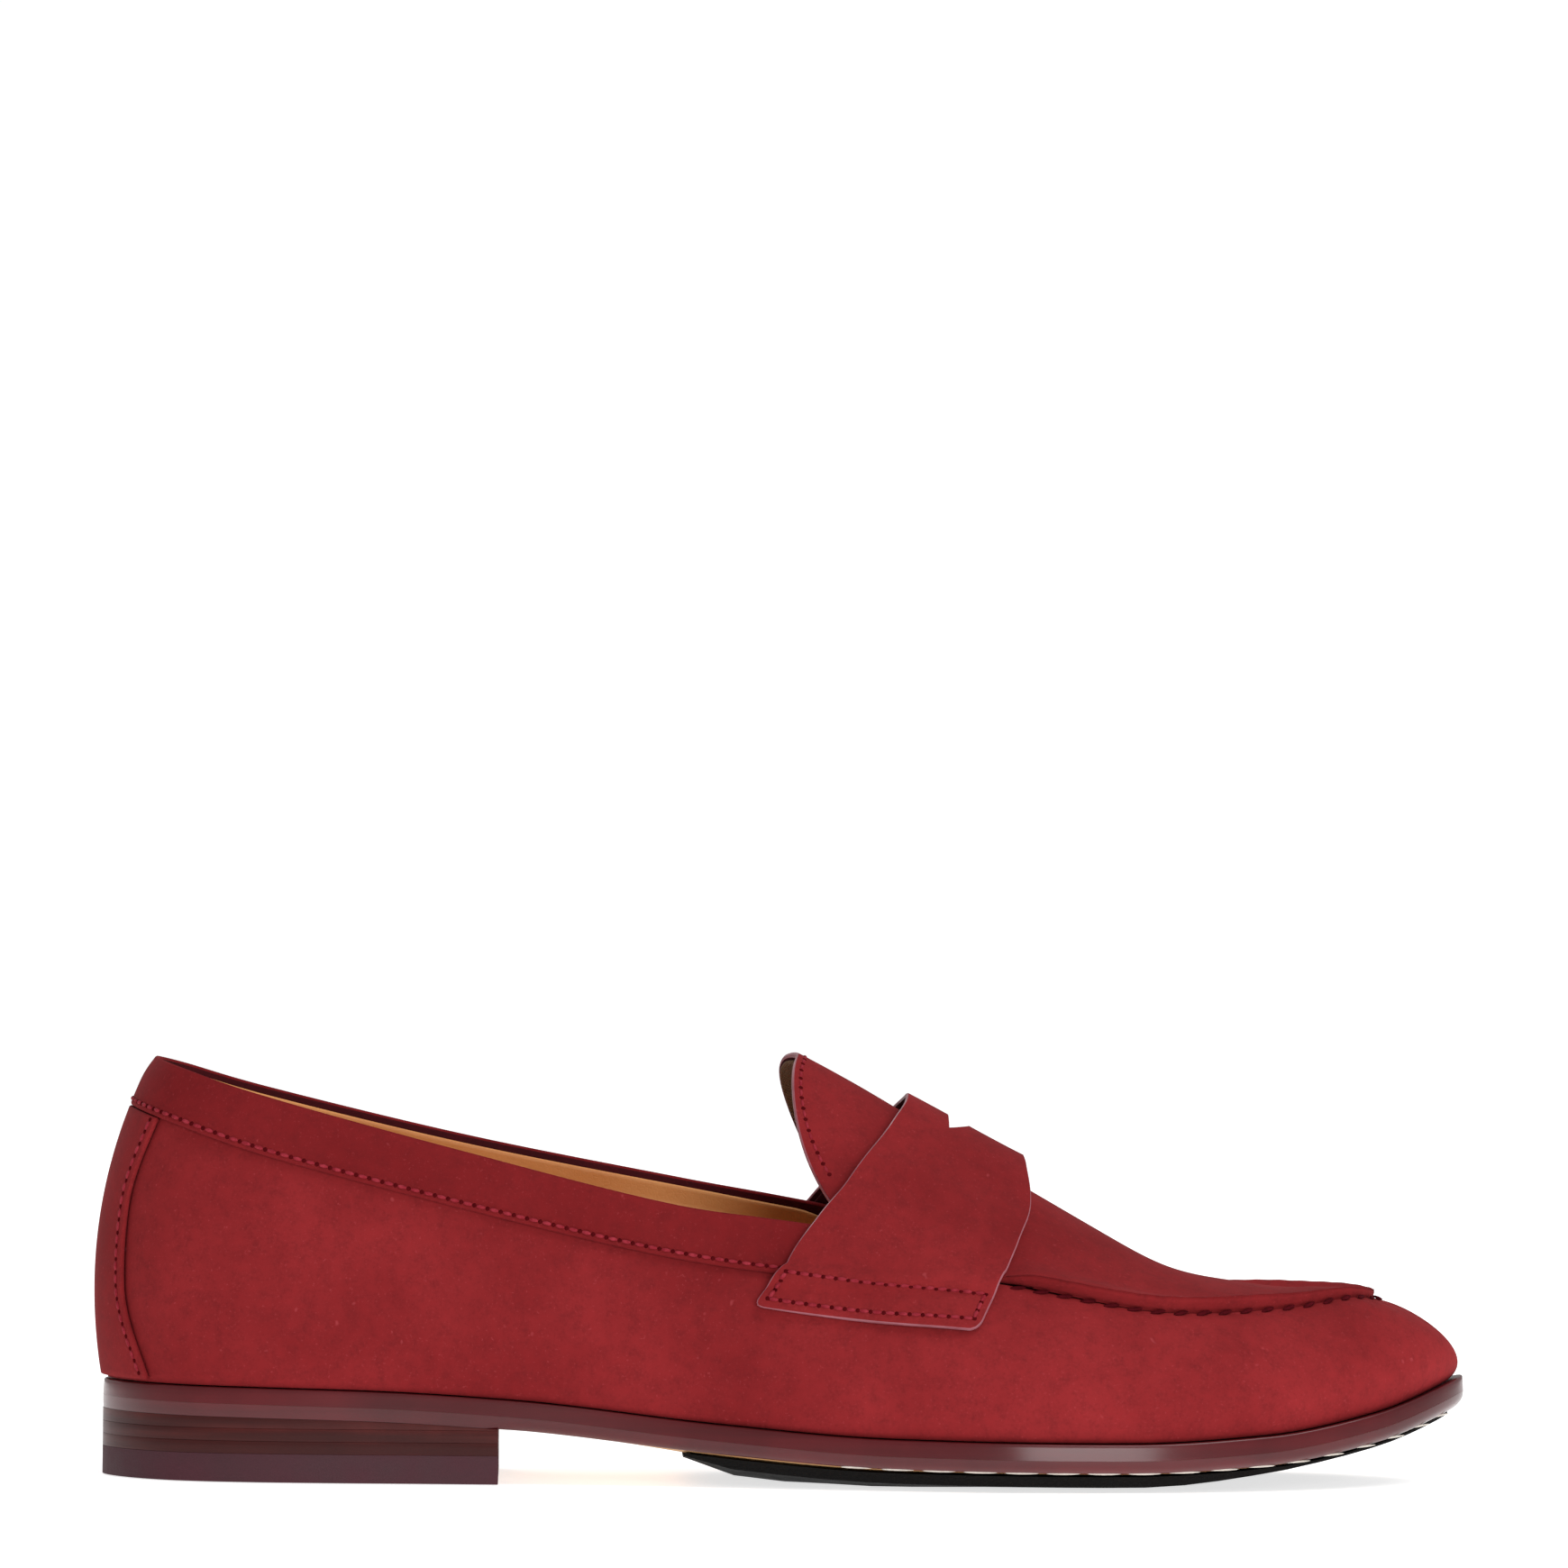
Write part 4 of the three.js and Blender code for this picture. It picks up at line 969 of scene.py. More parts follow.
@dataclass
class Upper:
    """Side wall, collar, back strip and apron, with their linings."""

    kit: Kit
    seam: HandSeam
    collar_end: float = 16 / 3
    collar_level: float = 1 - 3 / SEAM_HEIGHT
    collar_puff: float = 0.35
    vamp_rear: float = 5.36
    rib: float = 3.0
    rib_width: float = 3.2
    lining_join: float = 5.0
    low_level: float = 0.12

    def build(self) -> None:
        """Builds every sheet."""
        self.side_wall()
        self.collar()
        self.back_strip()
        self.apron()
        self.linings()

    @staticmethod
    def wave(t: Array, level: Array) -> Array:
        """Slight unevenness of hand-lasted leather, in mm."""
        long_wave = np.sin(1.9 * t + 2.2 * level) * np.sin(2.9 * t - 5.1 * level)
        return 0.14 * (long_wave + 0.5 * np.sin(5.7 * t + 7.0 * level)) * smooth(level, 0, 0.2)

    def side_wall(self) -> None:
        """Wall right round the shoe, turned in under the insole, with the seam's groove along its top."""
        behind = np.linspace(-6, 6, 160, endpoint=False)
        in_front = np.linspace(6, 14, 420, endpoint=False)
        turns = np.concatenate([behind, in_front])
        margin = [FLANGE_LEVEL, -0.14, -0.05]
        heights = np.concatenate([margin, np.linspace(0, 0.8, 24), np.linspace(0.8, 1, 15)[1:]])
        t, v = grid(turns, heights)
        swell = ring(LAST.swells, t)
        top = 1 - GAP / (3 * np.hypot(swell[..., 2], swell[..., 3]))
        level = np.where(v <= 0, v, v * top)
        tall = LAST.rim(t)[..., 2] - LAST.feather(t)[0][..., 2]
        below = (1 - level) * tall
        groove = 0.7 * np.exp(-((below / 1.7) ** 2)) * self.seam.present(t)
        pucker = 0.17 * (self.seam.pull(t) - 0.35 * self.seam.present(t)) * np.exp(-((below / 4.6) ** 2))
        free = self.wave(t, level) * (1 - smooth(level, 0.85, 0.95))
        face = free - groove - pucker
        piece = lay("side_wall_leather", LAST.wall, t, level, -UPPER, face, closed=True)
        self.kit.settle(piece, NUBUCK, "nubuck", "side_wall")

    def collar(self) -> None:
        """Band round the topline, rolled over at the top and sewn down on the wall."""
        turns = np.linspace(-self.collar_end, self.collar_end, 300)
        heights = np.concatenate([np.linspace(self.collar_level, 1.05, 8), np.linspace(1.05, 2, 15)[1:]])
        t, level = grid(turns, heights)
        shown = 1 - smooth(np.abs(t), 3.5, 4.3)
        puff = self.collar_puff * np.sin(np.pi * np.clip((level - 1) / 0.95, 0, 1)) * shown
        piece = lay("collar_leather", LAST.quarter, t, level, GAP, GAP + TRIM + puff, round_over=0.42)
        # The collar's darker nubuck is painted shade.
        self.kit.settle(piece, ("nubuck_collar", "nubuck_back", "nubuck_collar"), "nubuck", "collar")
        run = np.linspace(-4.75, 4.75, 1200)
        tall = LAST.rim(run)[..., 2] - LAST.feather(run)[0][..., 2]
        at = self.collar_level + 1.25 / tall
        stitches = Thread().sew("collar_stitches", [LAST.path(LAST.quarter, run, at, GAP + TRIM)])
        self.kit.settle(stitches, STITCHES, "thread")

    def back_strip(self) -> None:
        """Strip up the back of the heel, widest at the feather edge."""
        halves = np.array([[0, 0.98], [0.35, 0.7], [0.65, 0.68], [1, 0.86]])
        b, side = grid(np.linspace(0, 1, 50), np.linspace(-1, 1, 44))
        level = mix(0.015, self.collar_level - 0.004, b)
        t = side * profile(halves, b)
        piece = lay("back_strip_leather", LAST.wall, t, level, GAP, GAP + TRIM)
        self.kit.settle(piece, NUBUCK, "nubuck", "back_strip")
        paths = []
        for hand in (-1, 1):
            b = np.linspace(0.02, 0.985, 200)
            level = mix(0.015, self.collar_level - 0.004, b)
            t = hand * (profile(halves, b) - 0.075)
            paths.append(LAST.path(LAST.wall, t, level, GAP + TRIM))
        stitches = Thread().sew("back_strip_stitches", paths)
        self.kit.settle(stitches, STITCHES, "thread")

    def over_foot(self, name: str, places: Array, sides: Array, start: Callable[[Array], Array],
                  level_at: Callable[[Array, Array], Array],
                  depth_at: Callable[[Array, Array, Array], tuple[Array, Array]],
                  round_over: float) -> bpy.types.Object:
        """Sheet over the forefoot, folded on itself at the toe.

        Args:
            name: the object's name.
            places: rows, from 0 at the rear edge to 1 at the toe.
            sides: columns, from -1 at the outer border to 1 at the inner one.
            start: station of the rear edge at each level.
            level_at: level for each |side| and station count from the heel.
            depth_at: outer and inner depth for each level, station and station count.
            round_over: how far the rim bulges.

        Returns:
            The sheet.
        """
        a, side = grid(places, sides)
        low = start(np.ones(a.shape))
        first = start(level_at(np.abs(side), mix(low, TOE, a)))
        k = mix(first, TOE, a)
        level = level_at(np.abs(side), k)
        t = np.where(side <= 0, k, COUNT - k)
        outer, inner = depth_at(level, t, k)
        return lay(name, LAST.instep, t, level, inner, outer, round_over=round_over, folded=True)

    def apron(self) -> None:
        """Plug of the vamp, with its raised, puckered edge."""
        half = np.concatenate([np.linspace(0, 0.75, 20, endpoint=False), np.linspace(0.75, 1, 28)])
        sides = np.concatenate([-half[:0:-1], half])

        def level_at(side: Array, k: Array) -> Array:
            """Level for a share of the way to the rim."""
            away = np.linalg.norm(LAST.rim(k) - LAST.ridge(k), axis=-1)
            share = np.where(side < 0.75, side * 1.12, mix(0.84, 1.0, 4 * side - 3))
            return mix(2, 1 + GAP / away, share)

        def depth_at(level: Array, t: Array, k: Array) -> tuple[Array, Array]:
            """The raised edge, drawn down under each stitch."""
            height = self.rib * smooth(k, 5.9, 6.25) * (1 - 0.55 * smooth(k, 7.5, 9.4))
            away = (level - 1) * INSTEP_LEVEL
            rib = height * np.exp(-((away / self.rib_width) ** 2))
            drawn = 0.08 * (self.seam.pull(t) - 0.4 * self.seam.present(t)) * np.exp(-((away / 3.4) ** 2))
            free = self.wave(t, level) * smooth(level, 1.3, 1.6) * (1 - smooth(level, 1.9, 2))
            return rib - drawn + free, np.full(level.shape, -UPPER)

        piece = self.over_foot("apron_leather", np.linspace(0, 1, 250), sides,
                               lambda level: np.full(level.shape, self.vamp_rear), level_at, depth_at, 0.3)
        self.kit.settle(piece, NUBUCK, "nubuck", "apron")

    def linings(self) -> None:
        """Tan linings of the quarters and the vamp."""
        out = -(UPPER + GAP + 0.1) - STIFFENER - GAP
        t, b = grid(np.linspace(-self.lining_join, self.lining_join, 180), np.linspace(0, 1, 34))
        top = mix(1.84, 1.6, smooth(np.abs(t), 4.6, 5))
        level = np.where(b < 0.7, mix(self.low_level, 0.98, b / 0.7), mix(0.98, top, (b - 0.7) / 0.3))
        tucked = 1.0 * (1 - smooth(level, 0.16, 0.34))
        depth = out * (1 - smooth(level, 1.02, 1.45)) - 0.1 - tucked
        piece = lay("quarter_lining_leather", LAST.quarter, t, level, depth - LINING, depth, round_over=0.25)
        self.kit.settle(piece, TAN, "tan_lining", "quarter_lining")

        def level_at(side: Array, k: Array) -> Array:
            """Level for a share of the way to the insole."""
            return mix(2, self.low_level, side)

        def depth_at(level: Array, t: Array, k: Array) -> tuple[Array, Array]:
            """Clear of the toe puff in front."""
            outer = out - 0.6 * smooth(k, 7.2, 7.8) - 0.6 * (1 - smooth(level, 0.16, 0.34))
            return outer, outer - LINING

        piece = self.over_foot(
            "vamp_lining_leather", np.linspace(0, 1, 60), np.linspace(-1, 1, 61),
            lambda level: mix(self.lining_join + 0.02, self.vamp_rear, smooth(level, 0.7, 1.1)),
            level_at, depth_at, 0.2)
        dark_face = ("nubuck_back", "lining_leather", "lining_leather")
        self.kit.settle(piece, dark_face, "tan_lining", "vamp_lining")


@dataclass
class Tongue:
    """Short tongue behind the strap, with its cloth lining and one row of stitches."""

    kit: Kit
    side_share: float = 0.82
    rear: float = along(0.502)
    vamp_rear: float = 5.36
    gap: float = 0.7
    ease: float = 5.0

    def place(self, a: Array, c: Array, inset: float) -> tuple[Array, Array]:
        """Station and level.

        Args:
            a: 0 at the free end, 1 at the root.
            c: -1 at the outer side, 1 at the inner.
            inset: distance in from the borders, in mm.

        Returns:
            Station and level.
        """
        level = 2 - np.abs(c) * (self.side_share - inset / INSTEP_LEVEL)
        flare = 2.4 * np.sin(np.pi * np.clip(c / 0.85, 0, 1)) ** 1.5
        peak = 1.5 * np.exp(-((c / 0.3) ** 2))
        low = self.rear + 9.5 * np.abs(c) ** 5.5 + peak - flare + inset
        root = LAST.instep(np.full(c.shape, self.vamp_rear), level)[..., 0]
        x = mix(low, root - self.gap - self.ease * c * c - 0.3 * inset, a)
        return LAST.station_at(x, level, c <= 0), level

    def build(self) -> None:
        """Builds the tongue, its lining and its stitches."""
        leather, cloth = ("nubuck_red", "nubuck_back", "cut_edge"), ("tongue_cloth",) * 3
        layers = (
            ("tongue_leather", "nubuck", "tongue", 0.0, UPPER, 0.0, leather),
            ("tongue_cloth", "tongue_cloth", "tongue_lining", -UPPER - GAP, LINING, 0.6, cloth))
        for name, slot, node, outside, thick, inset, finish in layers:
            a, c = grid(np.linspace(0, 1, 56), np.linspace(-1, 1, 81))
            t, level = self.place(a, c, inset)
            piece = lay(name, LAST.instep, t, level, outside - thick, outside)
            if node == "tongue_lining":
                give_lengths(piece)
            self.kit.settle(piece, finish, slot, node, body="tongue")
        c = np.linspace(-0.93, 0.93, 300)
        t, level = self.place(np.zeros(300), c, 1.7)
        stitch = Thread(length=1.8, width=0.6, height=0.45, lift=0.0)
        row = stitch.sew("tongue_stitches", [LAST.path(LAST.instep, t, level, 0)])
        self.kit.settle(row, STITCHES, "thread", body="tongue")


@dataclass
class Strap:
    """Saddle strap with its half-moon slot, its backing and the box of stitches at each end."""

    kit: Kit
    ends: tuple[float, float] = (0.72, 0.63)
    corner: float = 2.0
    slot_length: float = 23.0
    slot_width: float = 4.6
    rise_rear: float = 1.5
    rise_front: float = 3.3
    reach: float = 1.3
    rear_line: tuple = ((0.7, 0.472), (1, 0.498), (1.13, 0.52), (1.26, 0.5405), (1.6, 0.571),
                        (1.85, 0.58), (2, 0.581))
    front_line: tuple = ((0.6, 0.636), (1, 0.656), (1.17, 0.664), (1.45, 0.672), (1.8, 0.666),
                         (2, 0.664))

    def place(self, a: Array, side: Array, end_inset: Array, inset: Array) -> tuple[Array, Array, Array]:
        """Station, level and rise of the strap's underside.

        Args:
            a: 0 at the rear edge, 1 at the front edge.
            side: -1 at the outer end, 1 at the inner end.
            end_inset: distance in from the ends, in mm.
            inset: distance in from the rear and front edges, in mm.

        Returns:
            Station, level and rise above the body.
        """
        end_level = mix(self.ends[0], self.ends[1], a) + end_inset / INSTEP_LEVEL
        level = 2 - np.abs(side) * (2 - end_level)
        lines = (self.rear_line, self.front_line)
        rear, front = (np.array([(p, along(q)) for p, q in line]) for line in lines)
        x = mix(profile(rear, level) + inset, profile(front, level) - inset, a)
        over_collar = (TRIM + 1.5 * GAP) * (1 - smooth(level, 1.3, 1.7))
        over_ridge = mix(self.rise_rear, self.rise_front, a) * smooth(level, 1.05, 1.9)
        rise = GAP + np.maximum(over_collar, over_ridge) * smooth(level, 0.84, 0.92)
        return LAST.station_at(x, level, side <= 0), level, rise

    def skive(self, level: Array) -> Array:
        """Share of the stack left at a level: the backing is pared thin under the ends."""
        return mix(0.25, 1, smooth(level, 0.82, 0.97))

    def cutter(self, grow: float) -> bpy.types.Object:
        """Half-moon block that cuts the slot."""
        half, width = self.slot_length / 2 + grow, self.slot_width + grow
        radius = (half * half + width * width) / (2 * width)
        angles = np.linspace(-math.asin(half / radius), math.asin(half / radius), 32)
        start = along(0.618) - grow
        middle = 0.02 * BALL_WIDTH
        outline = np.stack([start + width - radius + radius * np.cos(angles),
                            middle + radius * np.sin(angles)], 1)
        made = block("slot_cutter", outline, lambda x: 50.0, lambda x: 100.0, 0.02)
        made.data.polygons.foreach_set("material_index", [Side.RIM.value] * len(made.data.polygons))
        return made

    def layer(self, name: str, depth: float, thick: float, inset: float, grow: float) -> bpy.types.Object:
        """One layer of the strap, from end to end, with its corners rounded and its slot cut."""
        a, side = grid(np.linspace(0, 1, 64), np.linspace(-1, 1, 201))
        from_end = (1 - np.abs(side)) * self.reach * WALL_LEVEL
        corner = np.clip(self.corner - from_end, 0, self.corner)
        shrink = inset + self.corner - np.sqrt(np.maximum(self.corner ** 2 - corner ** 2, 0))
        t, level, rise = self.place(a, side, inset, shrink)
        low, high = self.stack(level, depth, thick)
        piece = lay(name, LAST.instep, t, level, rise + low, rise + high, round_over=0.28)
        tool = self.cutter(grow)
        for kind in ("nubuck_red", "nubuck_back", "cut_edge"):
            for target in (piece, tool):
                target.data.materials.append(self.kit.materials[kind])
        cut = piece.modifiers.new("slot", "BOOLEAN")
        cut.operation, cut.solver, cut.object = "DIFFERENCE", "EXACT", tool
        select(piece)
        bpy.ops.object.modifier_apply(modifier="slot")
        bpy.data.objects.remove(tool)
        bpy.ops.object.shade_smooth_by_angle(angle=math.radians(40))
        return piece

    def stack(self, level: Array, depth: float, thick: float) -> tuple[Array, Array]:
        """Underside and face of a layer above the strap's underside; only the backing is pared."""
        low = depth * self.skive(level)
        if depth > 0:
            return low, low + thick
        return low, thick * self.skive(level)

    def build(self) -> None:
        """Builds both layers and the stitches."""
        leather = self.layer("strap_leather", BACKING + 2 * GAP, TRIM, 0, 0)
        self.kit.settle(leather, ("nubuck_red", "nubuck_back", "cut_edge"), "nubuck", "saddle_strap")
        backing = self.layer("strap_backing", 0, BACKING, 1.2, 1)
        self.kit.settle(backing, ("nubuck_back", "nubuck_back", "nubuck_back"), "nubuck", "strap_lining")
        self.stitches()

    def line(self, a: Array, from_end: Array, hand: int) -> tuple[Array, Array]:
        """Points on the strap's face and their outward directions, by distance from its end in mm."""
        end = mix(self.ends[0], self.ends[1], a)
        level = end + from_end / WALL_LEVEL
        side = hand * (2 - level) / (2 - end)
        t, level, rise = self.place(a, side, np.zeros(a.shape), np.zeros(a.shape))
        face = self.stack(level, BACKING + 2 * GAP, TRIM)[1]
        return LAST.path(LAST.instep, t, level, rise + face)

    def stitches(self) -> None:
        """Two rows across each end, joined by short rows along the edges."""
        paths = []
        for hand in (-1, 1):
            for from_end in (2.0, 7.4):
                a = np.linspace(0.04, 0.962, 120)
                paths.append(self.line(a, np.full(120, from_end), hand))
            for a in (0.045, 0.958):
                paths.append(self.line(np.full(20, a), np.linspace(2.0, 7.4, 20), hand))
        row = Thread(pitch=2.7, width=0.8, height=0.65).sew("strap_stitches", paths)
        self.kit.settle(row, STITCHES, "thread")


# ---------------------------------------------------------------- sole and heel
@dataclass
class Sole:
    """Midsole, outsole with its bevel and its stitches, and the sock on the insole."""

    kit: Kit
    rows: int = 240
    across: int = 14

    def outsole_bottom(self, x: Array, b: Array) -> Array:
        """Height of the outsole's underside at x, a share b of the way across."""
        return LAST.seat(x) - MIDSOLE - GAP - OUTSOLE - LAST.crown(x) * (1 - (2 * b - 1) ** 2)

    def layer(self, name: str, steps: Sequence[tuple[float, float]], top: Callable[[Array, Array], Array],
              bottom: Callable[[Array, Array], Array], flush_to: float = -1e9) -> bpy.types.Object:
        """Layer of the sole with a shaped edge.

        Args:
            name: the object's name.
            steps: the edge's profile from the top down: inset in mm and share of the thickness.
            top: height of the upper side at x and share across.
            bottom: height of the underside.
            flush_to: the edge stands upright behind this x, where the heel's own sides go on below it.

        Returns:
            The layer, with its edge, underside and upper side in material indices 0, 1 and 2.
        """
        inner = [(0.0, i, s) for i, s in reversed(steps)]
        over = [(b, steps[0][0], 0.0) for b in np.linspace(0, 1, self.across + 1)[1:-1]]
        outer = [(1.0, i, s) for i, s in steps]
        under = [(b, steps[-1][0], 1.0) for b in np.linspace(1, 0, self.across + 1)[1:-1]]
        loop = np.array(inner + over + outer + under)
        kinds = [0] * (len(inner) - 1) + [2] * (len(over) + 1)
        kinds += [0] * (len(outer) - 1) + [1] * (len(under) + 1)
        places = np.linspace(0, TOE, self.rows)
        t, b = grid(places, loop[:, 0])
        _, inset = grid(places, loop[:, 1])
        _, share = grid(places, loop[:, 2])
        inset = inset * mix(0.06, 1, smooth(LAST.edge(t)[0][..., 0], flush_to - 4, flush_to + 6))
        p, q = LAST.edge(t, inset)[0], LAST.edge(COUNT - t, inset)[0]
        flat = mix(p, q, b[..., None])
        x = flat[..., 0]
        z = mix(top(x, b), bottom(x, b), share)
        points = np.concatenate([flat, z[..., None]], -1).reshape(-1, 3)
        n = len(loop)
        number = np.arange(self.rows * n).reshape(self.rows, n)
        after = np.roll(number, -1, axis=1)
        faces = np.stack([number[:-1], number[1:], after[1:], after[:-1]], -1).reshape(-1, 4)
        made = new_object(name, points, list(faces), kinds * (self.rows - 1))
        weld(made)
        select(made)
        bpy.ops.object.shade_smooth_by_angle(angle=math.radians(50))
        return made

    def build(self) -> None:
        """Builds the layers and the stitches."""
        edge = [(1.1, 0), (0.65, 0.01), (0.36, 0.05), (0.24, 0.12), (0.16, 0.3), (0.08, 0.6),
                (0.02, 0.9), (0, 1)]
        midsole = self.layer("midsole_edge", edge, lambda x, b: LAST.seat(x),
                             lambda x, b: LAST.seat(x) - MIDSOLE)
        self.kit.settle(midsole, ("painted_edge", "sole_leather", "painted_edge"), "edge_leather", "midsole")
        bevel = [(0, 0), (0.02, 0.15), (0.06, 0.3), (0.14, 0.45), (0.3, 0.6), (0.7, 0.78),
                 (1.3, 0.94), (1.7, 1)]
        outsole = self.layer("outsole_edge", bevel, lambda x, b: LAST.seat(x) - MIDSOLE - 0.02,
                             self.outsole_bottom, flush_to=HEEL_X + HEEL_LENGTH)
        self.kit.settle(outsole, ("painted_edge", "sole_leather", "sole_leather"), "edge_leather", "outsole")
        self.sock()
        self.stitches()

    def sock(self) -> None:
        """Sock over the insole, raised by the heel pad."""
        inset = 2.5 + UPPER + STIFFENER + LINING + 4 * GAP + 0.2

        def under(x: Array, b: Array) -> Array:
            """Underside of the sock."""
            board = LAST.seat(x) + GAP + UPPER + 1.5 * GAP + INSOLE
            pad = 3 * (1 - smooth(x, along(0.2), along(0.33) - 1))
            over = 0.8 + GAP + 0.4 + np.maximum(0, pad - 0.4)
            return board + GAP + over * (1 - smooth(x, along(0.33) + 1, along(0.33) + 16))

        steps = [(inset + 0.5, 0), (inset + 0.12, 0.12), (inset, 0.4), (inset, 1)]
        piece = self.layer("sock_leather", steps, lambda x, b: under(x, b) + SOCK, under)
        self.kit.settle(piece, TAN, "tan_lining", "sock_liner")

    def stitches(self) -> None:
        """Long pale stitches in the bevel of the outsole, from the breast of the heel to the toe."""
        paths = []
        for hand in (0, 1):
            t = np.linspace(4.9, 9.6, 500)
            place, out = LAST.edge(COUNT - t if hand else t, np.full(500, 1.6))
            z = self.outsole_bottom(place[:, 0], np.zeros(500)) + 0.05
            up = np.concatenate([out * 0.6, np.full((500, 1), -0.8)], 1)
            paths.append((np.concatenate([place, z[:, None]], 1), up))
        stitch = Thread(pitch=8.8, length=7.4, width=0.6, height=0.4, lift=0.0, hole=0)
        row = stitch.sew("sole_stitches", paths)
        self.kit.settle(row, ("sole_thread",), "thread")


@dataclass
class Heel:
    """Stacked heel: wedge, two lifts and the rubber top piece."""

    kit: Kit
    bevel: float = 0.07
    seam: float = 0.03

    def outline(self) -> Array:
        """Heel's outline from the inner breast corner round the back to the outer one."""
        ends = []
        for hand in (1, -1):
            low, high = 0.0, 6.0
            for _ in range(30):
                middle = (low + high) / 2
                x = LAST.edge(np.array([hand * middle]), np.zeros(1))[0][0, 0]
                low, high = (middle, high) if x < HEEL_X + HEEL_LENGTH else (low, middle)
            ends.append(hand * low)
        t = np.linspace(ends[1], ends[0], 90)
        return LAST.edge(t, np.zeros(90))[0]

    def build(self) -> None:
        """Builds the four blocks."""
        outline = self.outline()
        lift_top = TOP_LIFT + GAP + 2 * (LIFT + GAP)
        wedge_top = (lambda x: LAST.seat(np.array([x]))[0] - MIDSOLE - OUTSOLE - GAP - self.seam)
        stack = ("stacked_leather", "stack_leather")
        parts = [
            ("heel_wedge", "heel_lift_1", stack, lambda x: lift_top, wedge_top),
            ("heel_upper_lift", "heel_lift_2", stack,
             lambda x: lift_top - LIFT - GAP, lambda x: lift_top - self.seam),
            ("heel_lower_lift", "heel_lift_3", stack,
             lambda x: TOP_LIFT + GAP, lambda x: TOP_LIFT + 2 * GAP + LIFT - self.seam),
            ("heel_top_piece", "heel_top_lift", ("heel_rubber", "heel_rubber"),
             lambda x: 0.0, lambda x: TOP_LIFT + GAP - self.seam),
        ]
        for name, node, (finish, slot), bottom, top in parts:
            piece = block(name, outline, bottom, top, self.bevel)
            self.kit.settle(piece, (finish,), slot, node)


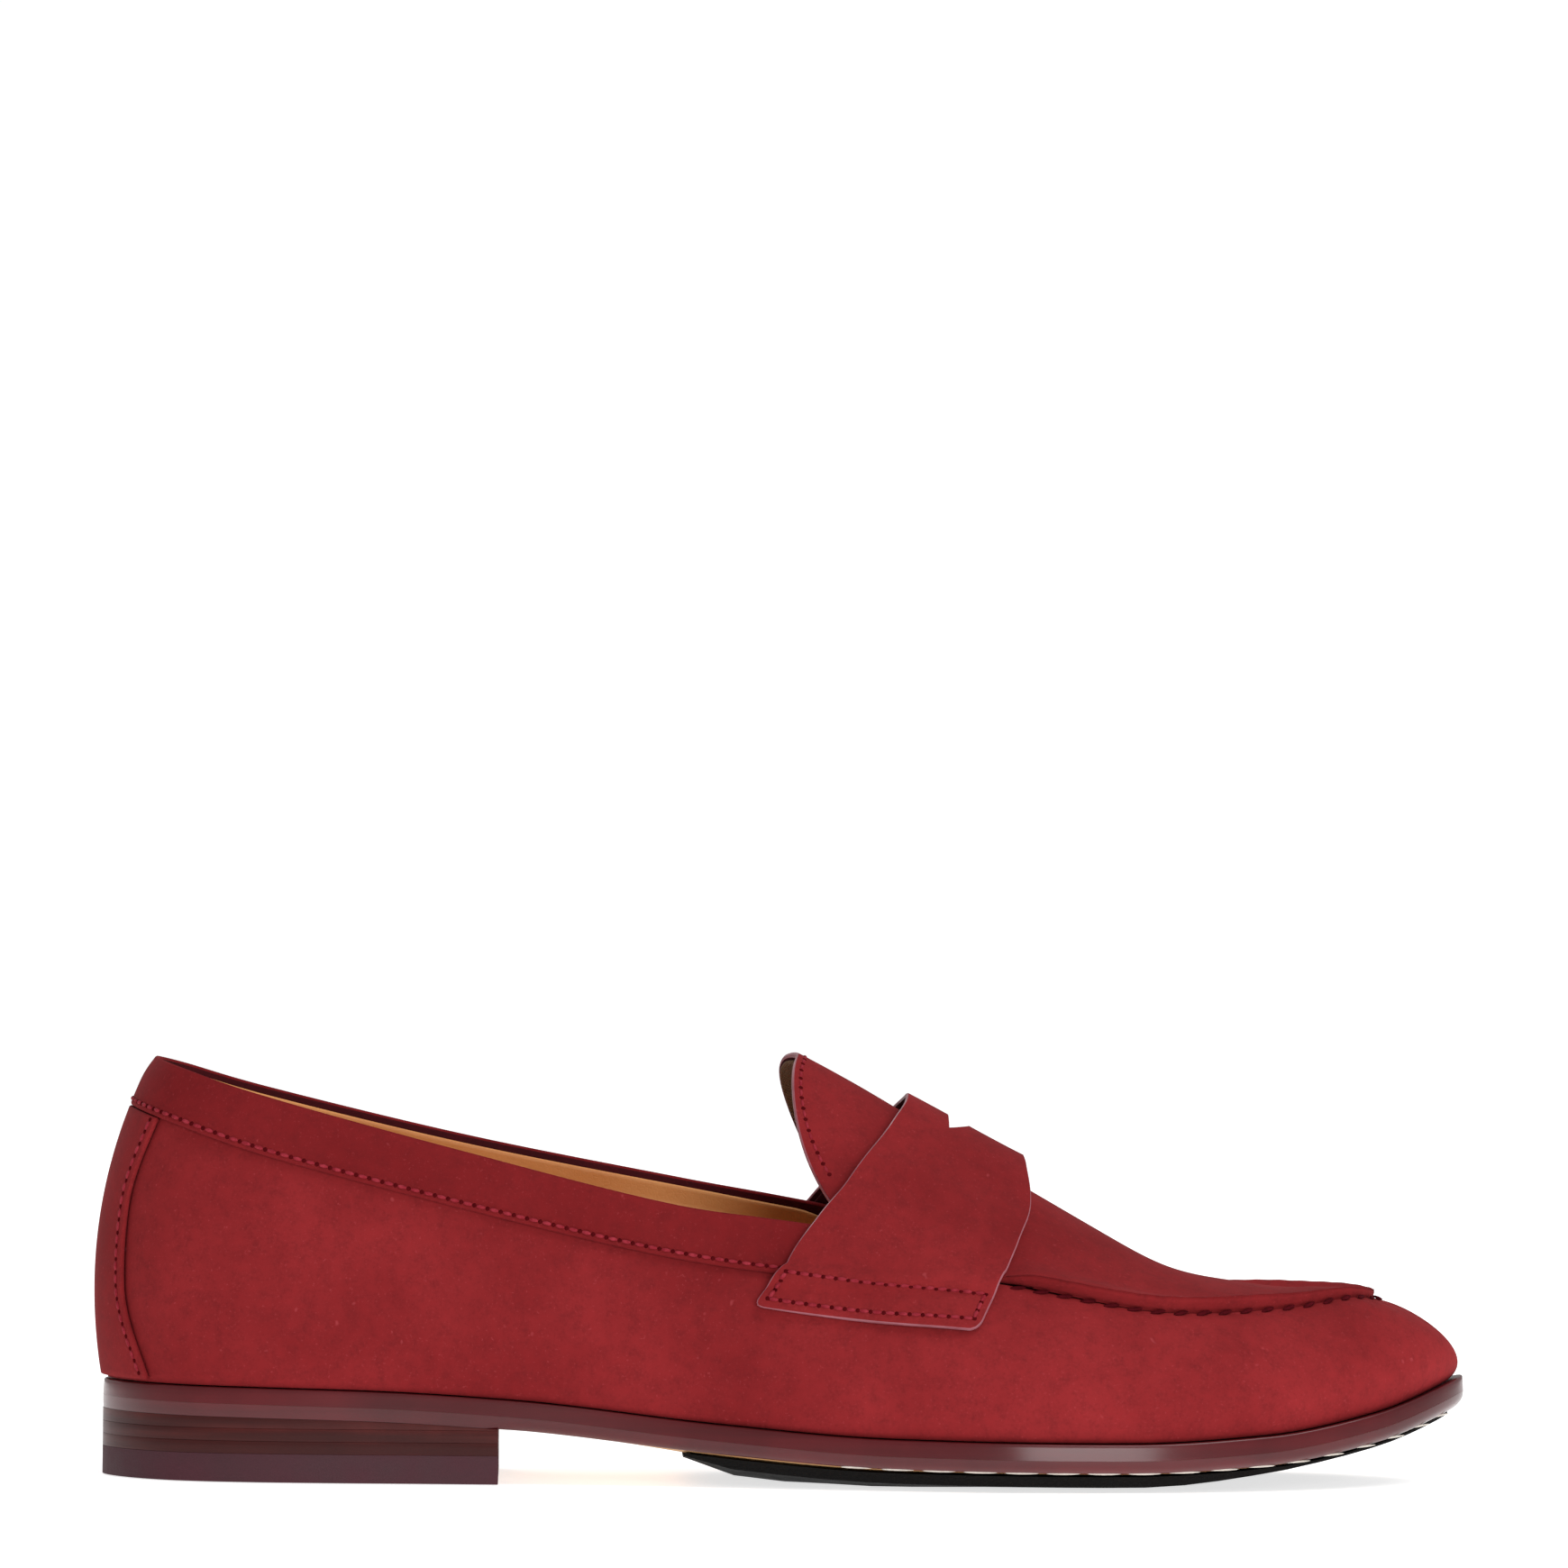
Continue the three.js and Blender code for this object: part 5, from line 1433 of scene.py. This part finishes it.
class Studio:
    """Pale floor, soft lights and the camera: metres for lengths, degrees for angles."""

    distance: float = 3.0
    frame_width: float = 0.3392
    sensor: float = 36.0
    aim_height: float = 0.0458
    turn: float = -1.0
    aside: float = 0.008
    rise: float = 2.5
    above: float = 1.99
    roll: float = 0.55

    def floor(self) -> None:
        """Lays the floor."""
        deselect()
        bpy.ops.mesh.primitive_circle_add(vertices=96, radius=30, fill_type="NGON", location=(0, 0, 0))
        floor = bpy.context.object
        floor.name = "floor"
        floor.data.transform(Matrix.Translation((0, 0, -0.0002)))
        material = bpy.data.materials.new("pale_floor")
        material.use_nodes = True
        shader = material.node_tree.nodes["Principled BSDF"]
        shader.inputs["Base Color"].default_value = (0.9, 0.9, 0.9, 1)
        shader.inputs["Roughness"].default_value = 0.9
        shader.inputs["Specular IOR Level"].default_value = 0.1
        shader.inputs["Emission Color"].default_value = (1, 1, 1, 1)
        shader.inputs["Emission Strength"].default_value = 0.7
        floor.data.materials.append(material)

    def light(self, name: str, place: tuple, size: float, power: float) -> None:
        """Hangs a square soft light that faces the shoe."""
        lamp = bpy.data.lights.new(name, "AREA")
        lamp.size, lamp.energy = size, power
        made = bpy.data.objects.new(name, lamp)
        bpy.context.scene.collection.objects.link(made)
        made.location = place
        made.rotation_mode = "QUATERNION"
        made.rotation_quaternion = (Vector((0, 0, 0.04)) - Vector(place)).to_track_quat("-Z", "Y")

    def lights(self) -> None:
        """Sets an even white surround and the lamps."""
        world = bpy.data.worlds.new("white_room")
        world.use_nodes = True
        world.node_tree.nodes["Background"].inputs["Color"].default_value = (1, 1, 1, 1)
        bench = Bench(world.node_tree)
        seen = bench.add("LightPath").outputs["Is Camera Ray"]
        strength = bench.add("MapRange", {"Value": seen, "To Min": 0.36, "To Max": 1.02}).outputs[0]
        world.node_tree.links.new(strength, world.node_tree.nodes["Background"].inputs["Strength"])
        bpy.context.scene.world = world
        bpy.context.scene.view_settings.view_transform = "Standard"
        self.light("overhead", (0.75, -0.4, 1.5), 1.1, 14)
        self.light("front", (0.7, -2.0, 0.4), 0.9, 15)
        self.light("back", (-0.9, 1.5, 1.1), 1.0, 7)

    def camera(self) -> None:
        """Stands a long lens three metres from the shoe, level with its side."""
        lens = bpy.data.cameras.new("camera")
        lens.sensor_width = self.sensor
        lens.lens = self.sensor * self.distance / self.frame_width
        lens.clip_start, lens.clip_end = 0.1, 60
        made = bpy.data.objects.new("camera", lens)
        bpy.context.scene.collection.objects.link(made)
        turn, rise, above = (math.radians(v) for v in (self.turn, self.rise, self.above))
        back = Vector((math.sin(turn) * math.cos(rise), -math.cos(turn) * math.cos(rise), math.sin(rise)))
        made.location = Vector((0.0, 0.0, self.aim_height)) + back * self.distance
        aim = Matrix.Rotation(turn + math.radians(self.aside), 4, "Z")
        aim = aim @ Matrix.Rotation(math.pi / 2 - rise + above, 4, "X")
        made.rotation_mode = "QUATERNION"
        made.rotation_quaternion = (aim @ Matrix.Rotation(math.radians(self.roll), 4, "Z")).to_quaternion()
        bpy.context.scene.camera = made


def dress_hidden(frame: dict, kit: Kit) -> None:
    """Gives the parts that stay as modelled their finishes."""
    finishes = {"insole_board": "fibreboard", "heel_counter": "fibreboard", "toe_puff": "nubuck_back",
                "cork_filler": "cork", "steel_shank": "shank_steel", "heel_pad": "heel_foam",
                "forefoot_tread": "tread_rubber"}
    finishes.update({f"heel_nail_{i}": "shank_steel" for i in range(1, 6)})
    for node, finish in finishes.items():
        for slot in frame["nodes"][node].material_slots:
            slot.material = kit.materials[finish]
        LOG.info("%s: %s", node, finish)


def main() -> None:
    """Builds the shoe on the frame, with the camera and the studio first."""
    logging.basicConfig(level=logging.INFO, format="%(message)s")
    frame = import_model()
    deselect()
    studio = Studio()
    studio.camera()
    studio.floor()
    studio.lights()
    kit = Kit()
    seam = HandSeam()
    Upper(kit, seam).build()
    seam.sew(kit)
    Tongue(kit).build()
    Strap(kit).build()
    Sole(kit).build()
    Heel(kit).build()
    dress_hidden(frame, kit)


if __name__ == "__main__":
    main()
